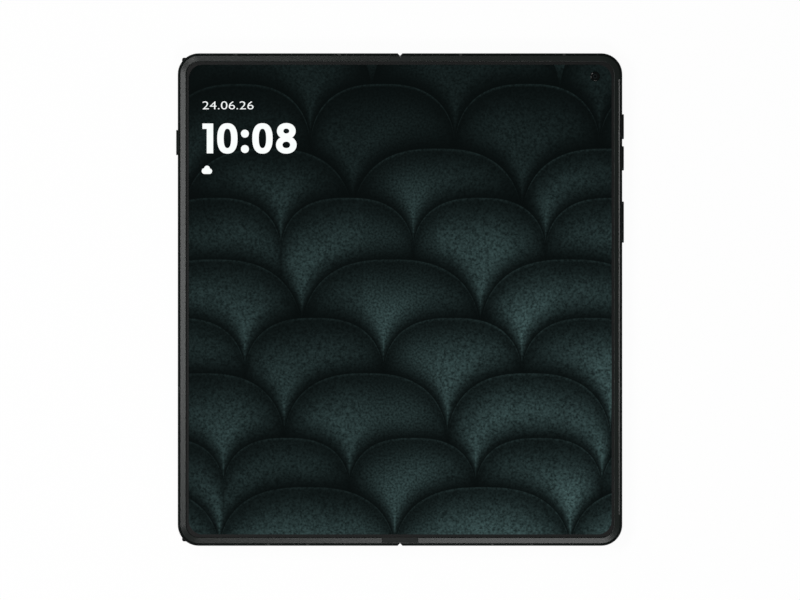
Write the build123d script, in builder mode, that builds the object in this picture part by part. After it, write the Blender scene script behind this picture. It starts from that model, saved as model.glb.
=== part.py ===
"""A book-style foldable smartphone, lying open on its back.

The fold runs along Y through the middle, the inner display faces +Z and the top edge is at +Y.
The origin is under the middle of the phone, level with the lens rings that stand lowest. Sizes are in mm.
"""

from build123d import *
import math
import os

# ---- Overall form
phone_height = 160.0
half_width = 72.2
half_thickness = 4.6
corner_radius = 6.8
fold_corner_cut = 0.7  # off the frame's corners at the two ends of the fold
back_chamfer = 0.6
lip_chamfer = 0.3
island_height = 2.2
lens_ring_height = 0.3
closed_gap = 0.6  # between the two rims when the phone is shut
fold_gap = 0.1  # from the fold's middle to each half

# ---- Frame, rim and skins
wall = 1.5
lip = 0.7  # the frame's outer lip beside the rim
lip_drop = 0.1
rim_width = 2.0
rim_gap = 0.05
rim_chamfer = 0.2
display_recess = 0.45  # the display's surface below the rim
display_thickness = 0.65
display_edge_gap = 0.1
plate_thickness = 0.2
midplate_thickness = 0.5
skin_thickness = 0.5
skin_gap = 0.05
skin_ledge = 0.4
skin_fold_margin = 3.0  # bare metal between the fold and each skin
saddle_margin = 0.8  # metal between the saddle and the inner room
saddle_height = 1.85

# ---- Fold
axis_depth = 1.0  # each fold axis below the rim
spine_radius = 2.95
spine_wall = 0.35
spine_end_wall = 0.8
spine_end_gap = 0.15
spine_drop = 0.25  # top of the spine below the wing plates
saddle_gap = 0.15
fold_zone = 12.0  # half the width of display that bends
wing_inner_x = 1.6
wing_end_gap = 0.2
bead_radius = 0.2
bead_gap = 0.05
wing_cut_x = 9.0  # the wings stop here above the hinge modules
top_seal_length = 6.4
bottom_seal_length = 11.8
seal_gap = 0.05
seal_drop = 0.15

# ---- Hinge modules, from the inner end outwards along Y
module_end_margin = 11.6  # outer end of a module to the end wall
cheek = 1.0
crescent_length = 3.2
gear_length = 2.8
cam_length = 1.8
spring_length = 4.0
side_gap = 0.1
base_gap = 0.05
crescent_inner_r = 1.6
crescent_outer_r = 2.15
crescent_gap = 0.08
crescent_start = 194.0  # degrees from +X towards +Z, on the left half
crescent_sweep = 151.0
arm_depth = 1.15  # underside of the arms below the fold axis
arm_root = 1.75  # where an arm leaves its crescent, from the fold axis
arm_gap = 0.1
notch_gap = 0.05
arm_end_x = 8.8
deck_end_x = 18.0
deck_height = 2.1
deck_relief = 0.05

# ---- Timing gears and torque units
gear_pitch = 1.5  # distance between neighbouring gear axes
gear_teeth = 12
gear_depth = 1.2  # gear axes below the fold axes
pressure_angle = 20.0
addendum_share = 0.88
dedendum_share = 1.15
tooth_backlash = 0.05
arm_teeth = 5
gear_shaft_r = 0.25
pin_sides = 12  # pins, sleeves and their bores are twelve-sided
shaft_gap = 0.03
bar_thickness = 0.35
bar_offset = 0.05  # underside of the timing bar above its gear's axis
bar_end_x = 9.5
bar_width = 1.6
bar_roof_gap = 0.3
bar_roof = 0.25
cam_radius = 0.68
spring_radius = 0.6

# ---- Keys, SIM tray and port
key_height = 1.9
key_proud = 0.6
key_gap = 0.08
key_flange = 0.5
key_flange_thickness = 0.5
key_travel = 0.3
key_level = 1.8
volume_up_inset = 23.75  # middles of the keys below the top edge
volume_up_length = 8.1
volume_down_inset = 34.05
volume_down_length = 7.9
power_inset = 54.8
power_length = 13.4
side_key_inset = 28.9
side_key_length = 8.2
switch_width = 3.0
switch_depth = 0.6
port_inset = 35.8  # middle of the port from the right edge
port_width = 8.74
port_opening = 2.56
port_shell = 0.2
port_depth = 7.3
port_set_back = 0.4
port_seat_gap = 0.02
port_level = 2.0
tongue_width = 6.7
tongue_thickness = 0.7
tongue_length = 5.2
port_base = 1.0  # thickness of the port behind its contacts
tray_inset = 35.8  # middle of the tray from the left edge
tray_face_width = 11.4
tray_face_height = 1.6
tray_face_gap = 0.06
tray_pin_inset = 1.6  # release hole from the end of the tray's face
tray_pin_r = 0.35
tray_length = 16.0
tray_width = 10.4
tray_thickness = 0.8
tray_level = 1.95
card_length = 12.3
card_width = 8.8
card_depth = 0.5
socket_wall = 0.15
socket_gap = 0.1

# ---- Openings and antenna gaps in the frame
antenna_gap = 0.9
top_antenna_insets = (52.5, 18.9)  # from each half's side edge
bottom_antenna_insets = (42.2, 29.4)
side_antenna_inset = 51.1  # from the bottom edge
sound_slot_length = 5.0
sound_slot_width = 0.9
sound_slot_pitch = 6.5
bottom_sound_inset = 14.2  # middle of the bottom slots from the right edge
top_sound_inset = 17.2  # middle of the top slot from the left edge
microphone_inset = 48.2
microphone_r = 0.35
sound_level = 2.0

# ---- Cameras
inner_camera_side = 8.8  # inner camera from the right edge
inner_camera_top = 7.5  # and from the top edge
inner_camera_r = 1.5
camera_hole_gap = 0.1
cover_camera_side = 35.8  # cover camera from the left edge
cover_camera_top = 6.0
cover_camera_r = 1.4
small_camera_body = 4.6
island_fold_side = 19.1  # bare back between the fold and the island
island_side = 4.1  # island from the right edge
island_top = 11.6  # and from the top edge
island_length = 24.0
island_radius = 7.0
island_chamfer = 0.5
island_neck = 3.0  # the island's neck is this much smaller all round
island_inner_margin = 2.7  # island's inner end to the first ring
flash_zone = 7.5  # island's outer end kept for the flash
lens_shares = (0.11, 0.102, 0.094)  # of the island's width
lens_ring_width = 0.8
lens_ring_depth = 1.0
lens_ring_gap = 0.02
lens_cover_drop = 0.2
lens_cover_thickness = 0.6
barrel_shrink = 1.2
barrel_sides = 24  # barrels behind the masks are many-sided
camera_body_margin = 0.5
focus_radius = 2.2
focus_length = 1.1
focus_travel = 0.25
focus_gap = 0.1
flash_inset = 4.1  # from the island's outer end
flash_offset = 4.0  # above the island's middle
flash_radius = 1.9
flash_thickness = 0.5

# ---- Inner parts
room_gap = 0.1  # inner parts to the skins and midplate
deck_margin = 2.0  # hinge brackets to the cells and boards
battery_bottom_margin = 22.5  # end wall to the cells
battery_side_margin = 3.3
battery_gap = 4.0  # between a cell and its board
board_thickness = 0.6
board_level = 1.5
board_side_margin = 2.3
board_length = 34.0
island_margin = 2.4  # camera island to the main board
shield_height = 0.9
shield_margin = 1.6
shield_split = 16.0
shield_gap = 1.0
sub_board_length = 12.0
sub_board_gap = 0.3  # behind the port
speaker_margin = 2.0  # between the bottom speaker and the sub board
speaker_length = 14.0
speaker_width = 16.0
coil_r = 20.0
coil_thickness = 0.15
panel_thickness = 0.7
panel_margin = 1.6
motor_side = 12.2  # middle of the motor from the left edge
motor_bottom = 12.0  # and from the bottom edge
motor_width = 11.0
motor_length = 9.0
motor_wall = 0.3
weight_gap = 0.25
weight_side_gap = 0.15
small_board_margin = 16.5  # end wall to the left board
small_board_length = 22.0
flex_y = 20.0
flex_width = 12.0
flex_thickness = 0.1
flex_end_gap = 0.5  # flex circuits to the batteries

# ---- Levels, from the lens rings upwards
back_z = island_height + lens_ring_height
rim_z = back_z + half_thickness
lip_z = rim_z - lip_drop
display_z = rim_z - display_recess
display_base_z = display_z - display_thickness
plate_z = display_base_z - plate_thickness
midplate_z = plate_z - midplate_thickness
skin_z = back_z + skin_thickness
axis_z = rim_z - axis_depth
axis_x = axis_depth + closed_gap / 2
spine_top_z = plate_z - spine_drop
gear_z = axis_z - gear_depth
arm_z = axis_z - arm_depth
saddle_z = back_z + saddle_height
deck_z = back_z + deck_height
key_z = back_z + key_level
port_z = back_z + port_level
tray_z = back_z + tray_level
board_z = back_z + board_level

# ---- Places that follow from the sizes
inner_y = phone_height / 2 - wall
inner_x = half_width - wall
skin_inset = wall - skin_ledge
saddle_r = spine_radius + saddle_gap
saddle_x = axis_x + saddle_r + saddle_margin
spine_half_length = inner_y - spine_end_gap
wing_pivot_z = display_base_z - bead_radius
rim_inset = lip + rim_gap
display_inset = wall + display_edge_gap
slot_length = crescent_length + 2 * side_gap
bay_length = gear_length + 2 * side_gap
torque_length = cam_length + spring_length + 3 * side_gap
module_length = 2 * slot_length + bay_length + torque_length + 5 * cheek
module_end = inner_y - module_end_margin
module_start = module_end - module_length
left_slot_y = module_start + cheek
right_slot_y = left_slot_y + slot_length + cheek
gear_bay_y = right_slot_y + slot_length + cheek
torque_bay_y = gear_bay_y + bay_length + cheek
bar_z = gear_z + bar_offset
roof_z = bar_z + bar_thickness + bar_roof_gap
top_y = phone_height / 2
volume_up_y = top_y - volume_up_inset
volume_down_y = top_y - volume_down_inset
power_y = top_y - power_inset
side_key_y = top_y - side_key_inset
port_x = half_width - port_inset
tray_x = tray_inset - half_width
bottom_sound_x = half_width - bottom_sound_inset
top_sound_x = top_sound_inset - half_width
inner_camera = (half_width - inner_camera_side, top_y - inner_camera_top)
cover_camera = (cover_camera_side - half_width, top_y - cover_camera_top)
island_width = half_width - island_fold_side - island_side
island_x = half_width - island_side - island_width / 2
island_y = top_y - island_top - island_length / 2
flash_place = (island_x + island_width / 2 - flash_inset, island_y + flash_offset)
battery_inner_x = deck_end_x + deck_margin
battery_outer_x = inner_x - battery_side_margin
board_outer_x = inner_x - board_side_margin
board_top_y = island_y - island_length / 2 - island_margin
board_bottom_y = board_top_y - board_length
battery_bottom_y = battery_bottom_margin - inner_y
battery_top_y = board_bottom_y - battery_gap
small_board_top_y = inner_y - small_board_margin
small_board_bottom_y = small_board_top_y - small_board_length
port_end_y = port_set_back + port_depth - top_y

os.makedirs("parts", exist_ok=True)


def keep(builder, name):
    """Label a finished piece and write it."""
    builder.part.label = name
    export_step(builder.part, f"parts/{name}.step")


def block(xs, ys, zs, mode=Mode.ADD):
    """A box between two values each of x, y and z."""
    middle = tuple((a + b) / 2 for a, b in (xs, ys, zs))
    with Locations(middle):
        Box(abs(xs[1] - xs[0]), abs(ys[1] - ys[0]), abs(zs[1] - zs[0]), mode=mode)


def across(y):
    """The upright plane across the phone at y: its x is X, its y is Z, and extruding by -1 goes along +Y."""
    return Plane(origin=(0, y, 0), x_dir=(1, 0, 0), z_dir=(0, -1, 0))


def draw_half(side, inset, start_x=fold_gap, mode=Mode.ADD):
    """Plan of one half, inset on three sides, round at its outer corners and square towards the fold."""
    end_x = half_width - inset
    height = phone_height - 2 * inset
    with Locations((side * (start_x + end_x) / 2, 0)):
        RectangleRounded(end_x - start_x, height, corner_radius - inset, mode=mode)
    with Locations((side * (start_x + corner_radius), 0)):
        Rectangle(2 * corner_radius, height, mode=mode)


def draw_spine(radius, top):
    """Section of the spine: round about both fold axes and cut level at the top."""
    with Locations((0, axis_z)):
        SlotCenterToCenter(2 * axis_x, 2 * radius)
    with Locations((0, top + radius)):
        Rectangle(4 * radius + 2 * axis_x, 2 * radius, mode=Mode.SUBTRACT)


def ring_sector(centre, inner_r, outer_r, start, sweep):
    """Part of a ring, from its first angle through a sweep in degrees."""
    with BuildSketch() as sector:
        with BuildLine():
            outer = CenterArc(centre, outer_r, start, sweep)
            inner = CenterArc(centre, inner_r, start, sweep)
            Line(outer @ 0, inner @ 0)
            Line(outer @ 1, inner @ 1)
        make_face()
    return sector.sketch


def tooth_points(centre_x, first_angle, count):
    """Corners of straight-sided teeth on involute widths, counted upwards from first_angle."""
    pitch_r = gear_pitch / 2
    module = gear_pitch / gear_teeth
    root_r = pitch_r - dedendum_share * module
    tip_r = pitch_r + addendum_share * module
    base_r = pitch_r * math.cos(math.radians(pressure_angle))

    def half_tooth(radius):
        """Half the angle of a tooth at a radius."""
        turn = math.acos(min(1.0, base_r / max(radius, base_r)))
        pitch_turn = math.radians(pressure_angle)
        involute = (math.tan(pitch_turn) - pitch_turn) - (math.tan(turn) - turn)
        return math.pi / (2 * gear_teeth) - tooth_backlash / 2 / pitch_r + involute

    radii = (root_r, tip_r)
    points = []
    for tooth in range(count):
        middle = math.radians(first_angle + tooth * 360 / gear_teeth)
        edge = [(r, middle - half_tooth(r)) for r in radii]
        edge += [(r, middle + half_tooth(r)) for r in reversed(radii)]
        points += [(centre_x + r * math.cos(a), gear_z + r * math.sin(a)) for r, a in edge]
    return points


def frame_blank(side):
    """One half's machined frame before its slots: outer wall, midplate and the saddle round the spine."""
    with BuildPart() as blank:
        with BuildSketch(Plane.XY.offset(back_z)):
            draw_half(side, 0)
        extrude(amount=lip_z - back_z)
        upright = blank.edges().filter_by(Axis.Z)
        chamfer(upright.filter_by(lambda e: abs(e.center().X) < 2 * fold_gap), fold_corner_cut)
        outline = blank.edges().filter_by(lambda e: abs(e.center().X) > 2 * fold_gap)
        chamfer(outline.group_by(Axis.Z)[0], back_chamfer)
        outline = blank.edges().filter_by(lambda e: abs(e.center().X) > 2 * fold_gap)
        chamfer(outline.group_by(Axis.Z)[-1], lip_chamfer)
        seats = (
            (lip, -1, display_z, rim_z),
            (wall, -1, plate_z, display_z),
            (wall, saddle_x, skin_z, midplate_z),
            (skin_inset, skin_fold_margin, back_z, skin_z),
        )
        for inset, start_x, low, high in seats:
            with BuildSketch(Plane.XY.offset(low)):
                draw_half(side, inset, start_x)
            extrude(amount=high - low, mode=Mode.SUBTRACT)
        block((0, side * fold_zone), (-inner_y, inner_y), (saddle_z, plate_z), Mode.SUBTRACT)
        with BuildSketch(across(-inner_y)):
            with Locations((0, axis_z)):
                SlotCenterToCenter(2 * axis_x, 2 * saddle_r)
            with Locations((side * fold_zone, wing_pivot_z)):
                Circle(bead_radius + bead_gap)
        extrude(amount=-2 * inner_y, mode=Mode.SUBTRACT)
        with BuildSketch(across(-top_y)):
            with Locations((side * axis_x / 2, axis_z + axis_x / 2)):
                Rectangle(axis_x, axis_x)
            with Locations((side * axis_x, axis_z)):
                Circle(axis_x - fold_gap, mode=Mode.SUBTRACT)
        extrude(amount=-phone_height, mode=Mode.SUBTRACT)
    return blank.part


def antenna_boxes(side):
    """Where plastic interrupts the metal of one half's wall."""
    half_gap = antenna_gap / 2
    for insets, end in ((top_antenna_insets, 1), (bottom_antenna_insets, -1)):
        for x in [side * (half_width - inset) for inset in insets]:
            block((x - half_gap, x + half_gap), (end * inner_y, end * top_y), (back_z, rim_z))
    y = side_antenna_inset - top_y
    block((side * inner_x, side * half_width), (y - half_gap, y + half_gap), (back_z, rim_z))


def key_slot(side, middle_y, length):
    """The slot that a key slides in, as a solid to cut with."""
    with BuildPart() as slot:
        with BuildSketch(Plane.YZ.offset(side * (inner_x - key_gap))):
            with Locations((middle_y, key_z)):
                SlotOverall(length + 2 * key_gap, key_height + 2 * key_gap)
        extrude(amount=side * (wall + key_proud))
    return slot.part


def sound_slots(middle_x, count, end):
    """A row of slots through the top or bottom wall, as solids to cut with."""
    with BuildPart() as slots:
        with BuildSketch(across(end * top_y)):
            with Locations((middle_x, back_z + sound_level)):
                with GridLocations(sound_slot_pitch, 1, count, 1):
                    SlotOverall(sound_slot_length, sound_slot_width)
        extrude(amount=end * wall)
    return slots.part


def microphone_hole():
    """The microphone's hole through the bottom wall, as a solid to cut with."""
    with BuildPart() as hole:
        with BuildSketch(across(-top_y)):
            with Locations((half_width - microphone_inset, back_z + sound_level)):
                RegularPolygon(microphone_r, pin_sides)
        extrude(amount=-wall)
    return hole.part


def frame(side, name):
    """One half's frame with its slots and holes, and the antenna gaps that fill its wall."""
    blank = frame_blank(side)
    if side > 0:
        cuts = [
            key_slot(side, volume_up_y, volume_up_length),
            key_slot(side, volume_down_y, volume_down_length),
            key_slot(side, power_y, power_length),
            sound_slots(bottom_sound_x, 2, -1),
            microphone_hole(),
            port_room(),
            inner_camera_hole(),
        ]
    else:
        cuts = [
            key_slot(side, side_key_y, side_key_length),
            sound_slots(top_sound_x, 1, 1),
            tray_slot(),
        ]
    with BuildPart() as gaps:
        antenna_boxes(side)
        add(blank, mode=Mode.INTERSECT)
    keep(gaps, f"antenna_gaps_{name}")
    with BuildPart() as body:
        add(blank)
        add(gaps.part, mode=Mode.SUBTRACT)
        add(cuts, mode=Mode.SUBTRACT)
    keep(body, f"frame_{name}")


def port_room():
    """The port's mouth through the wall and the room it needs in the midplate, as a solid to cut with."""
    half = port_width / 2 + room_gap
    with BuildPart() as room:
        with BuildSketch(across(-top_y)):
            with Locations((port_x, port_z)):
                draw_port(port_shell + port_seat_gap)
        extrude(amount=-wall)
        block((port_x - half, port_x + half), (-inner_y, port_end_y + room_gap), (midplate_z, plate_z))
    return room.part


def inner_camera_hole():
    """The square hole through the midplate for the inner camera's barrel, as a solid to cut with."""
    side = 2 * (inner_camera_r + camera_hole_gap)
    with BuildPart() as hole:
        with BuildSketch(Plane.XY.offset(midplate_z)):
            with Locations(inner_camera):
                Rectangle(side, side)
        extrude(amount=midplate_thickness)
    return hole.part


def draw_port(margin, mode=Mode.ADD):
    """The port's round-ended section, with a margin round its opening."""
    width = port_width - 2 * port_shell + 2 * margin
    SlotOverall(width, port_opening + 2 * margin, mode=mode)


def tray_slot():
    """The slot for the SIM tray's face, as a solid to cut with."""
    with BuildPart() as slot:
        with BuildSketch(across(-top_y)):
            with Locations((tray_x, tray_z)):
                SlotOverall(tray_face_width + 2 * tray_face_gap, tray_face_height + 2 * tray_face_gap)
        extrude(amount=-wall)
    return slot.part


def rim(side, name):
    """The raised rim round the display on one half, open at the fold."""
    with BuildPart() as piece:
        with BuildSketch(Plane.XY.offset(display_z)):
            draw_half(side, rim_inset)
            draw_half(side, lip + rim_width, -1, mode=Mode.SUBTRACT)
            for end, length in ((1, top_seal_length), (-1, bottom_seal_length)):
                with Locations((0, end * top_y)):
                    Rectangle(length, 2 * (lip + rim_width), mode=Mode.SUBTRACT)
        extrude(amount=rim_z - display_z)
        chamfer(piece.faces().sort_by(Axis.Z)[-1].edges(), rim_chamfer)
    keep(piece, f"rim_{name}")


def fold_seals():
    """Flexible strips that close the rim at the two ends of the fold."""
    outer_y = top_y - rim_inset
    inner_edge = top_y - lip - rim_width
    with BuildPart() as seals:
        for end, length in ((1, top_seal_length), (-1, bottom_seal_length)):
            half = length / 2 - seal_gap
            block((-half, half), (end * inner_edge, end * outer_y), (display_z, rim_z - seal_drop))
    keep(seals, "fold_seals")


def display(side, name):
    """The part of the inner display that stays flat on one half."""
    with BuildPart() as panel:
        with BuildSketch(Plane.XY.offset(display_base_z)):
            draw_half(side, display_inset, fold_zone)
            if side > 0:
                with Locations(inner_camera):
                    Circle(inner_camera_r + camera_hole_gap, mode=Mode.SUBTRACT)
        extrude(amount=display_thickness)
    keep(panel, f"main_display_{name}")


def display_fold():
    """The middle of the inner display, which bends over the spine."""
    edge = top_y - display_inset
    with BuildPart() as panel:
        block((-fold_zone, fold_zone), (-edge, edge), (display_base_z, display_z))
    keep(panel, "main_display_fold")


def display_plate(side, name):
    """The stiff plate bonded under the flat part of the display."""
    start_x = fold_zone + bead_radius + 2 * bead_gap
    with BuildPart() as plate:
        with BuildSketch(Plane.XY.offset(plate_z)):
            draw_half(side, display_inset, start_x)
            if side > 0:
                opening = 2 * (inner_camera_r + camera_hole_gap)
                with Locations(inner_camera):
                    Rectangle(opening, opening, mode=Mode.SUBTRACT)
                depth = port_end_y + top_y + 2 * room_gap
                with Locations((port_x, depth / 2 - top_y)):
                    Rectangle(port_width + 2 * room_gap, depth, mode=Mode.SUBTRACT)
        extrude(amount=plate_thickness)
    keep(plate, f"display_plate_{name}")


def wing_plate(side, name):
    """The plate under the bending display on one half: it rocks on the bead along its outer edge."""
    half_length = inner_y - wing_end_gap
    with BuildPart() as wing:
        xs = (side * wing_inner_x, side * fold_zone)
        block(xs, (-half_length, half_length), (plate_z, display_base_z))
        for end in (1, -1):
            ys = (end * (module_start - 2 * side_gap), end * (module_end + 2 * side_gap))
            block((0, side * wing_cut_x), ys, (plate_z, display_base_z), Mode.SUBTRACT)
        with BuildSketch(across(-half_length)):
            with Locations((side * fold_zone, wing_pivot_z)):
                Circle(bead_radius)
        extrude(amount=-2 * half_length)
    keep(wing, f"{name}_wing_plate")


def spine_cover():
    """The rounded trough along the fold, closed at both ends and notched where the arms come out."""
    with BuildPart() as cover:
        with BuildSketch(across(-spine_half_length)):
            draw_spine(spine_radius, spine_top_z)
        extrude(amount=-2 * spine_half_length)
        length = spine_half_length - spine_end_wall
        with BuildSketch(across(-length)):
            draw_spine(spine_radius - spine_wall, rim_z)
        extrude(amount=-2 * length, mode=Mode.SUBTRACT)
        bays = (
            (-1, left_slot_y, slot_length),
            (1, right_slot_y, slot_length),
            (-1, gear_bay_y, bay_length),
            (1, gear_bay_y, bay_length),
        )
        for end in (1, -1):
            for side, start, length in bays:
                xs = (side * axis_x, side * (axis_x + 2 * spine_radius))
                ys = (end * start, end * (start + length))
                block(xs, ys, (arm_z - notch_gap, rim_z), Mode.SUBTRACT)
    keep(cover, "hinge_spine_cover")


def hinge_bases():
    """One machined base per hinge module, with curved slots for the crescents and bays for the gears."""
    outer_r = spine_radius - spine_wall - base_gap
    bay_floor = gear_z - gear_pitch / 2 - 2 * side_gap
    with BuildPart() as bases:
        for end in (1, -1):
            with BuildSketch(across(end * module_start)):
                draw_spine(outer_r, spine_top_z)
            extrude(amount=-end * module_length)
            for side, start in ((-1, left_slot_y), (1, right_slot_y)):
                with BuildSketch(across(end * start)):
                    with Locations((side * axis_x, axis_z)):
                        Circle(crescent_outer_r + crescent_gap)
                        Circle(crescent_inner_r - crescent_gap, mode=Mode.SUBTRACT)
                extrude(amount=-end * slot_length, mode=Mode.SUBTRACT)
                xs = (side * (axis_x + arm_root - notch_gap), side * (axis_x + 2 * outer_r))
                ys = (end * start, end * (start + slot_length))
                block(xs, ys, (arm_z - arm_gap, rim_z), Mode.SUBTRACT)
            width = axis_x + outer_r
            for start, length in ((gear_bay_y, bay_length), (torque_bay_y, torque_length)):
                ys = (end * start, end * (start + length))
                block((-width, width), ys, (bay_floor, rim_z), Mode.SUBTRACT)
    keep(bases, "hinge_bases")


def hinge_shafts():
    """The fixed steel pins that the timing gears turn on, from cheek to cheek of each gear bay."""
    places = [(turn * gear_pitch, gear_z) for turn in (-1.5, -0.5, 0.5, 1.5)]
    with BuildPart() as shafts:
        for end in (1, -1):
            with BuildSketch(across(end * gear_bay_y)):
                with Locations(*places):
                    RegularPolygon(gear_shaft_r, pin_sides)
            extrude(amount=-end * bay_length)
    keep(shafts, "hinge_shafts")


def idlers(side, name):
    """The full timing gear beside the middle, one in each module."""
    phase = 180 / gear_teeth if side < 0 else 0
    points = tooth_points(side * gear_pitch / 2, phase, gear_teeth)
    with BuildPart() as gears:
        for end in (1, -1):
            with BuildSketch(across(end * (gear_bay_y + side_gap))):
                with BuildLine():
                    Polyline(*points, close=True)
                make_face()
                with Locations((side * gear_pitch / 2, gear_z)):
                    RegularPolygon(gear_shaft_r + shaft_gap, pin_sides, mode=Mode.SUBTRACT)
            extrude(amount=-end * gear_length)
    keep(gears, f"{name}_idler_gears")


def sync_arms(side, name):
    """A toothed hub with a flat bar that keeps the timing gears in step with one half."""
    centre_x = side * 1.5 * gear_pitch
    step = 360 / gear_teeth
    first = 0 if side < 0 else 180 - (arm_teeth - 1) * step + step / 2
    points = tooth_points(centre_x, first, arm_teeth)
    root_r = math.dist(points[0], (centre_x, gear_z))
    away = math.radians(first + (arm_teeth - 1) * step / 2 + 180)
    heel = (centre_x + root_r * math.cos(away), gear_z + root_r * math.sin(away))
    bar_start = gear_bay_y + side_gap + (gear_length - bar_width) / 2
    with BuildPart() as arms:
        for end in (1, -1):
            with BuildSketch(across(end * (gear_bay_y + side_gap))):
                with BuildLine():
                    Polyline(*points)
                    ThreePointArc(points[-1], heel, points[0])
                make_face()
            extrude(amount=-end * gear_length)
            with BuildSketch(across(end * bar_start)):
                with Locations((side * (1.5 * gear_pitch + bar_end_x) / 2, bar_z + bar_thickness / 2)):
                    Rectangle(bar_end_x - 1.5 * gear_pitch, bar_thickness)
            extrude(amount=-end * bar_width)
            with BuildSketch(across(end * gear_bay_y)):
                with Locations((centre_x, gear_z)):
                    RegularPolygon(gear_shaft_r + shaft_gap, pin_sides)
            extrude(amount=-end * bay_length, mode=Mode.SUBTRACT)
    keep(arms, f"{name}_sync_arms")


def arm_brackets(side, name):
    """One bracket per module: a crescent that runs in the base, a deck welded on and a bar guide."""
    slot_y = left_slot_y if side < 0 else right_slot_y
    crescent_y = slot_y + side_gap
    start = crescent_start if side < 0 else 180 - crescent_start
    sweep = crescent_sweep if side < 0 else -crescent_sweep
    guide_half = bar_width / 2 + side_gap
    bar_middle = gear_bay_y + bay_length / 2
    deck_ys = (module_start + side_gap, gear_bay_y + bay_length)
    crescent = ring_sector((side * axis_x, axis_z), crescent_inner_r, crescent_outer_r, start, sweep)
    with BuildPart() as brackets:
        for end in (1, -1):
            with BuildSketch(across(end * crescent_y)):
                add(crescent)
                low, high = arm_z, spine_top_z
                root_x = axis_x + arm_root
                with Locations((side * (root_x + arm_end_x) / 2, (low + high) / 2)):
                    Rectangle(arm_end_x - root_x, high - low)
            extrude(amount=-end * crescent_length)
            ys = (end * deck_ys[0], end * deck_ys[1])
            block((side * arm_end_x, side * deck_end_x), ys, (deck_z, midplate_z - deck_relief))
            xs = (side * (fold_zone + 2 * bead_radius), side * deck_end_x)
            block(xs, ys, (deck_z, midplate_z))
            rail_ys = (end * (bar_middle - guide_half - cheek), end * (bar_middle + guide_half + cheek))
            guide_xs = (side * (saddle_x + side_gap), side * arm_end_x)
            block(guide_xs, rail_ys, (deck_z, roof_z + bar_roof))
            path_ys = (end * (bar_middle - guide_half), end * (bar_middle + guide_half))
            path_xs = (side * saddle_x, side * (bar_end_x + 2 * side_gap))
            block(path_xs, path_ys, (deck_z, roof_z), Mode.SUBTRACT)
    keep(brackets, f"arm_brackets_{name}")


def torque_units():
    """Cam sleeves and disc spring packs in line with the inner gears: they hold the fold where it is put."""
    places = [(turn * gear_pitch, gear_z) for turn in (-0.5, 0.5)]
    cam_y = torque_bay_y + side_gap
    spring_y = cam_y + cam_length + side_gap
    with BuildPart() as cams:
        for end in (1, -1):
            with BuildSketch(across(end * cam_y)):
                with Locations(*places):
                    RegularPolygon(cam_radius, pin_sides)
            extrude(amount=-end * cam_length)
    keep(cams, "cam_sleeves")
    with BuildPart() as springs:
        for end in (1, -1):
            with BuildSketch(across(end * spring_y)):
                with Locations(*places):
                    RegularPolygon(spring_radius, pin_sides)
            extrude(amount=-end * spring_length)
    keep(springs, "torque_springs")


def hinge_flex():
    """Two printed circuits that cross the fold under the display."""
    flex_end_x = battery_inner_x - flex_end_gap
    low = midplate_z - 2 * flex_thickness - room_gap
    high = spine_top_z + flex_thickness / 2
    route = [(-flex_end_x, low), (-arm_end_x, low), (-saddle_x, high)]
    route += [(saddle_x, high), (arm_end_x, low), (flex_end_x, low)]
    upper = [(x, z + flex_thickness) for x, z in reversed(route)]
    with BuildPart() as flex:
        for y in (-flex_y, flex_y):
            with BuildSketch(across(y - flex_width / 2)):
                with BuildLine():
                    Polyline(*(route + upper), close=True)
                make_face()
            extrude(amount=-flex_width)
    keep(flex, "hinge_flex")


def key(side, middle_y, length, name):
    """A key: a round-ended cap through the wall with a flange behind it."""
    inner_face = inner_x - key_flange_thickness
    with BuildPart() as cap:
        with BuildSketch(Plane.YZ.offset(side * inner_face)):
            with Locations((middle_y, key_z)):
                SlotOverall(length, key_height)
        extrude(amount=side * (half_width + key_proud - inner_face))
        with BuildSketch(Plane.YZ.offset(side * inner_face)):
            with Locations((middle_y, key_z)):
                Rectangle(length + 2 * key_flange, key_height)
        extrude(amount=side * key_flange_thickness)
    keep(cap, name)


def key_switches(side, places, name):
    """Dome switches behind the keys, on their small carrier."""
    face_x = inner_x - key_flange_thickness - key_travel - side_gap
    low, high = key_z - key_height / 2, key_z + key_height / 2
    with BuildPart() as switches:
        for middle_y in places:
            ys = (middle_y - switch_width / 2, middle_y + switch_width / 2)
            block((side * face_x, side * (face_x - switch_depth)), ys, (low, high))
            ys = (middle_y - switch_width, middle_y + switch_width)
            block((side * face_x, side * (face_x - 2 * switch_depth)), ys, (high - flex_thickness, high))
    keep(switches, name)


def usb_port():
    """The charging inlet: a drawn steel shell with its contact tongue."""
    mouth_y = port_set_back - top_y
    back_y = port_end_y - port_base
    with BuildPart() as port:
        with BuildSketch(across(mouth_y)):
            with Locations((port_x, port_z)):
                draw_port(port_shell)
        extrude(amount=-port_depth)
        with BuildSketch(across(mouth_y)):
            with Locations((port_x, port_z)):
                draw_port(0)
        extrude(amount=-(port_depth - port_base), mode=Mode.SUBTRACT)
        xs = (port_x - tongue_width / 2, port_x + tongue_width / 2)
        zs = (port_z - tongue_thickness / 2, port_z + tongue_thickness / 2)
        block(xs, (back_y - tongue_length, back_y), zs)
    keep(port, "usb_c_port")


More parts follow.
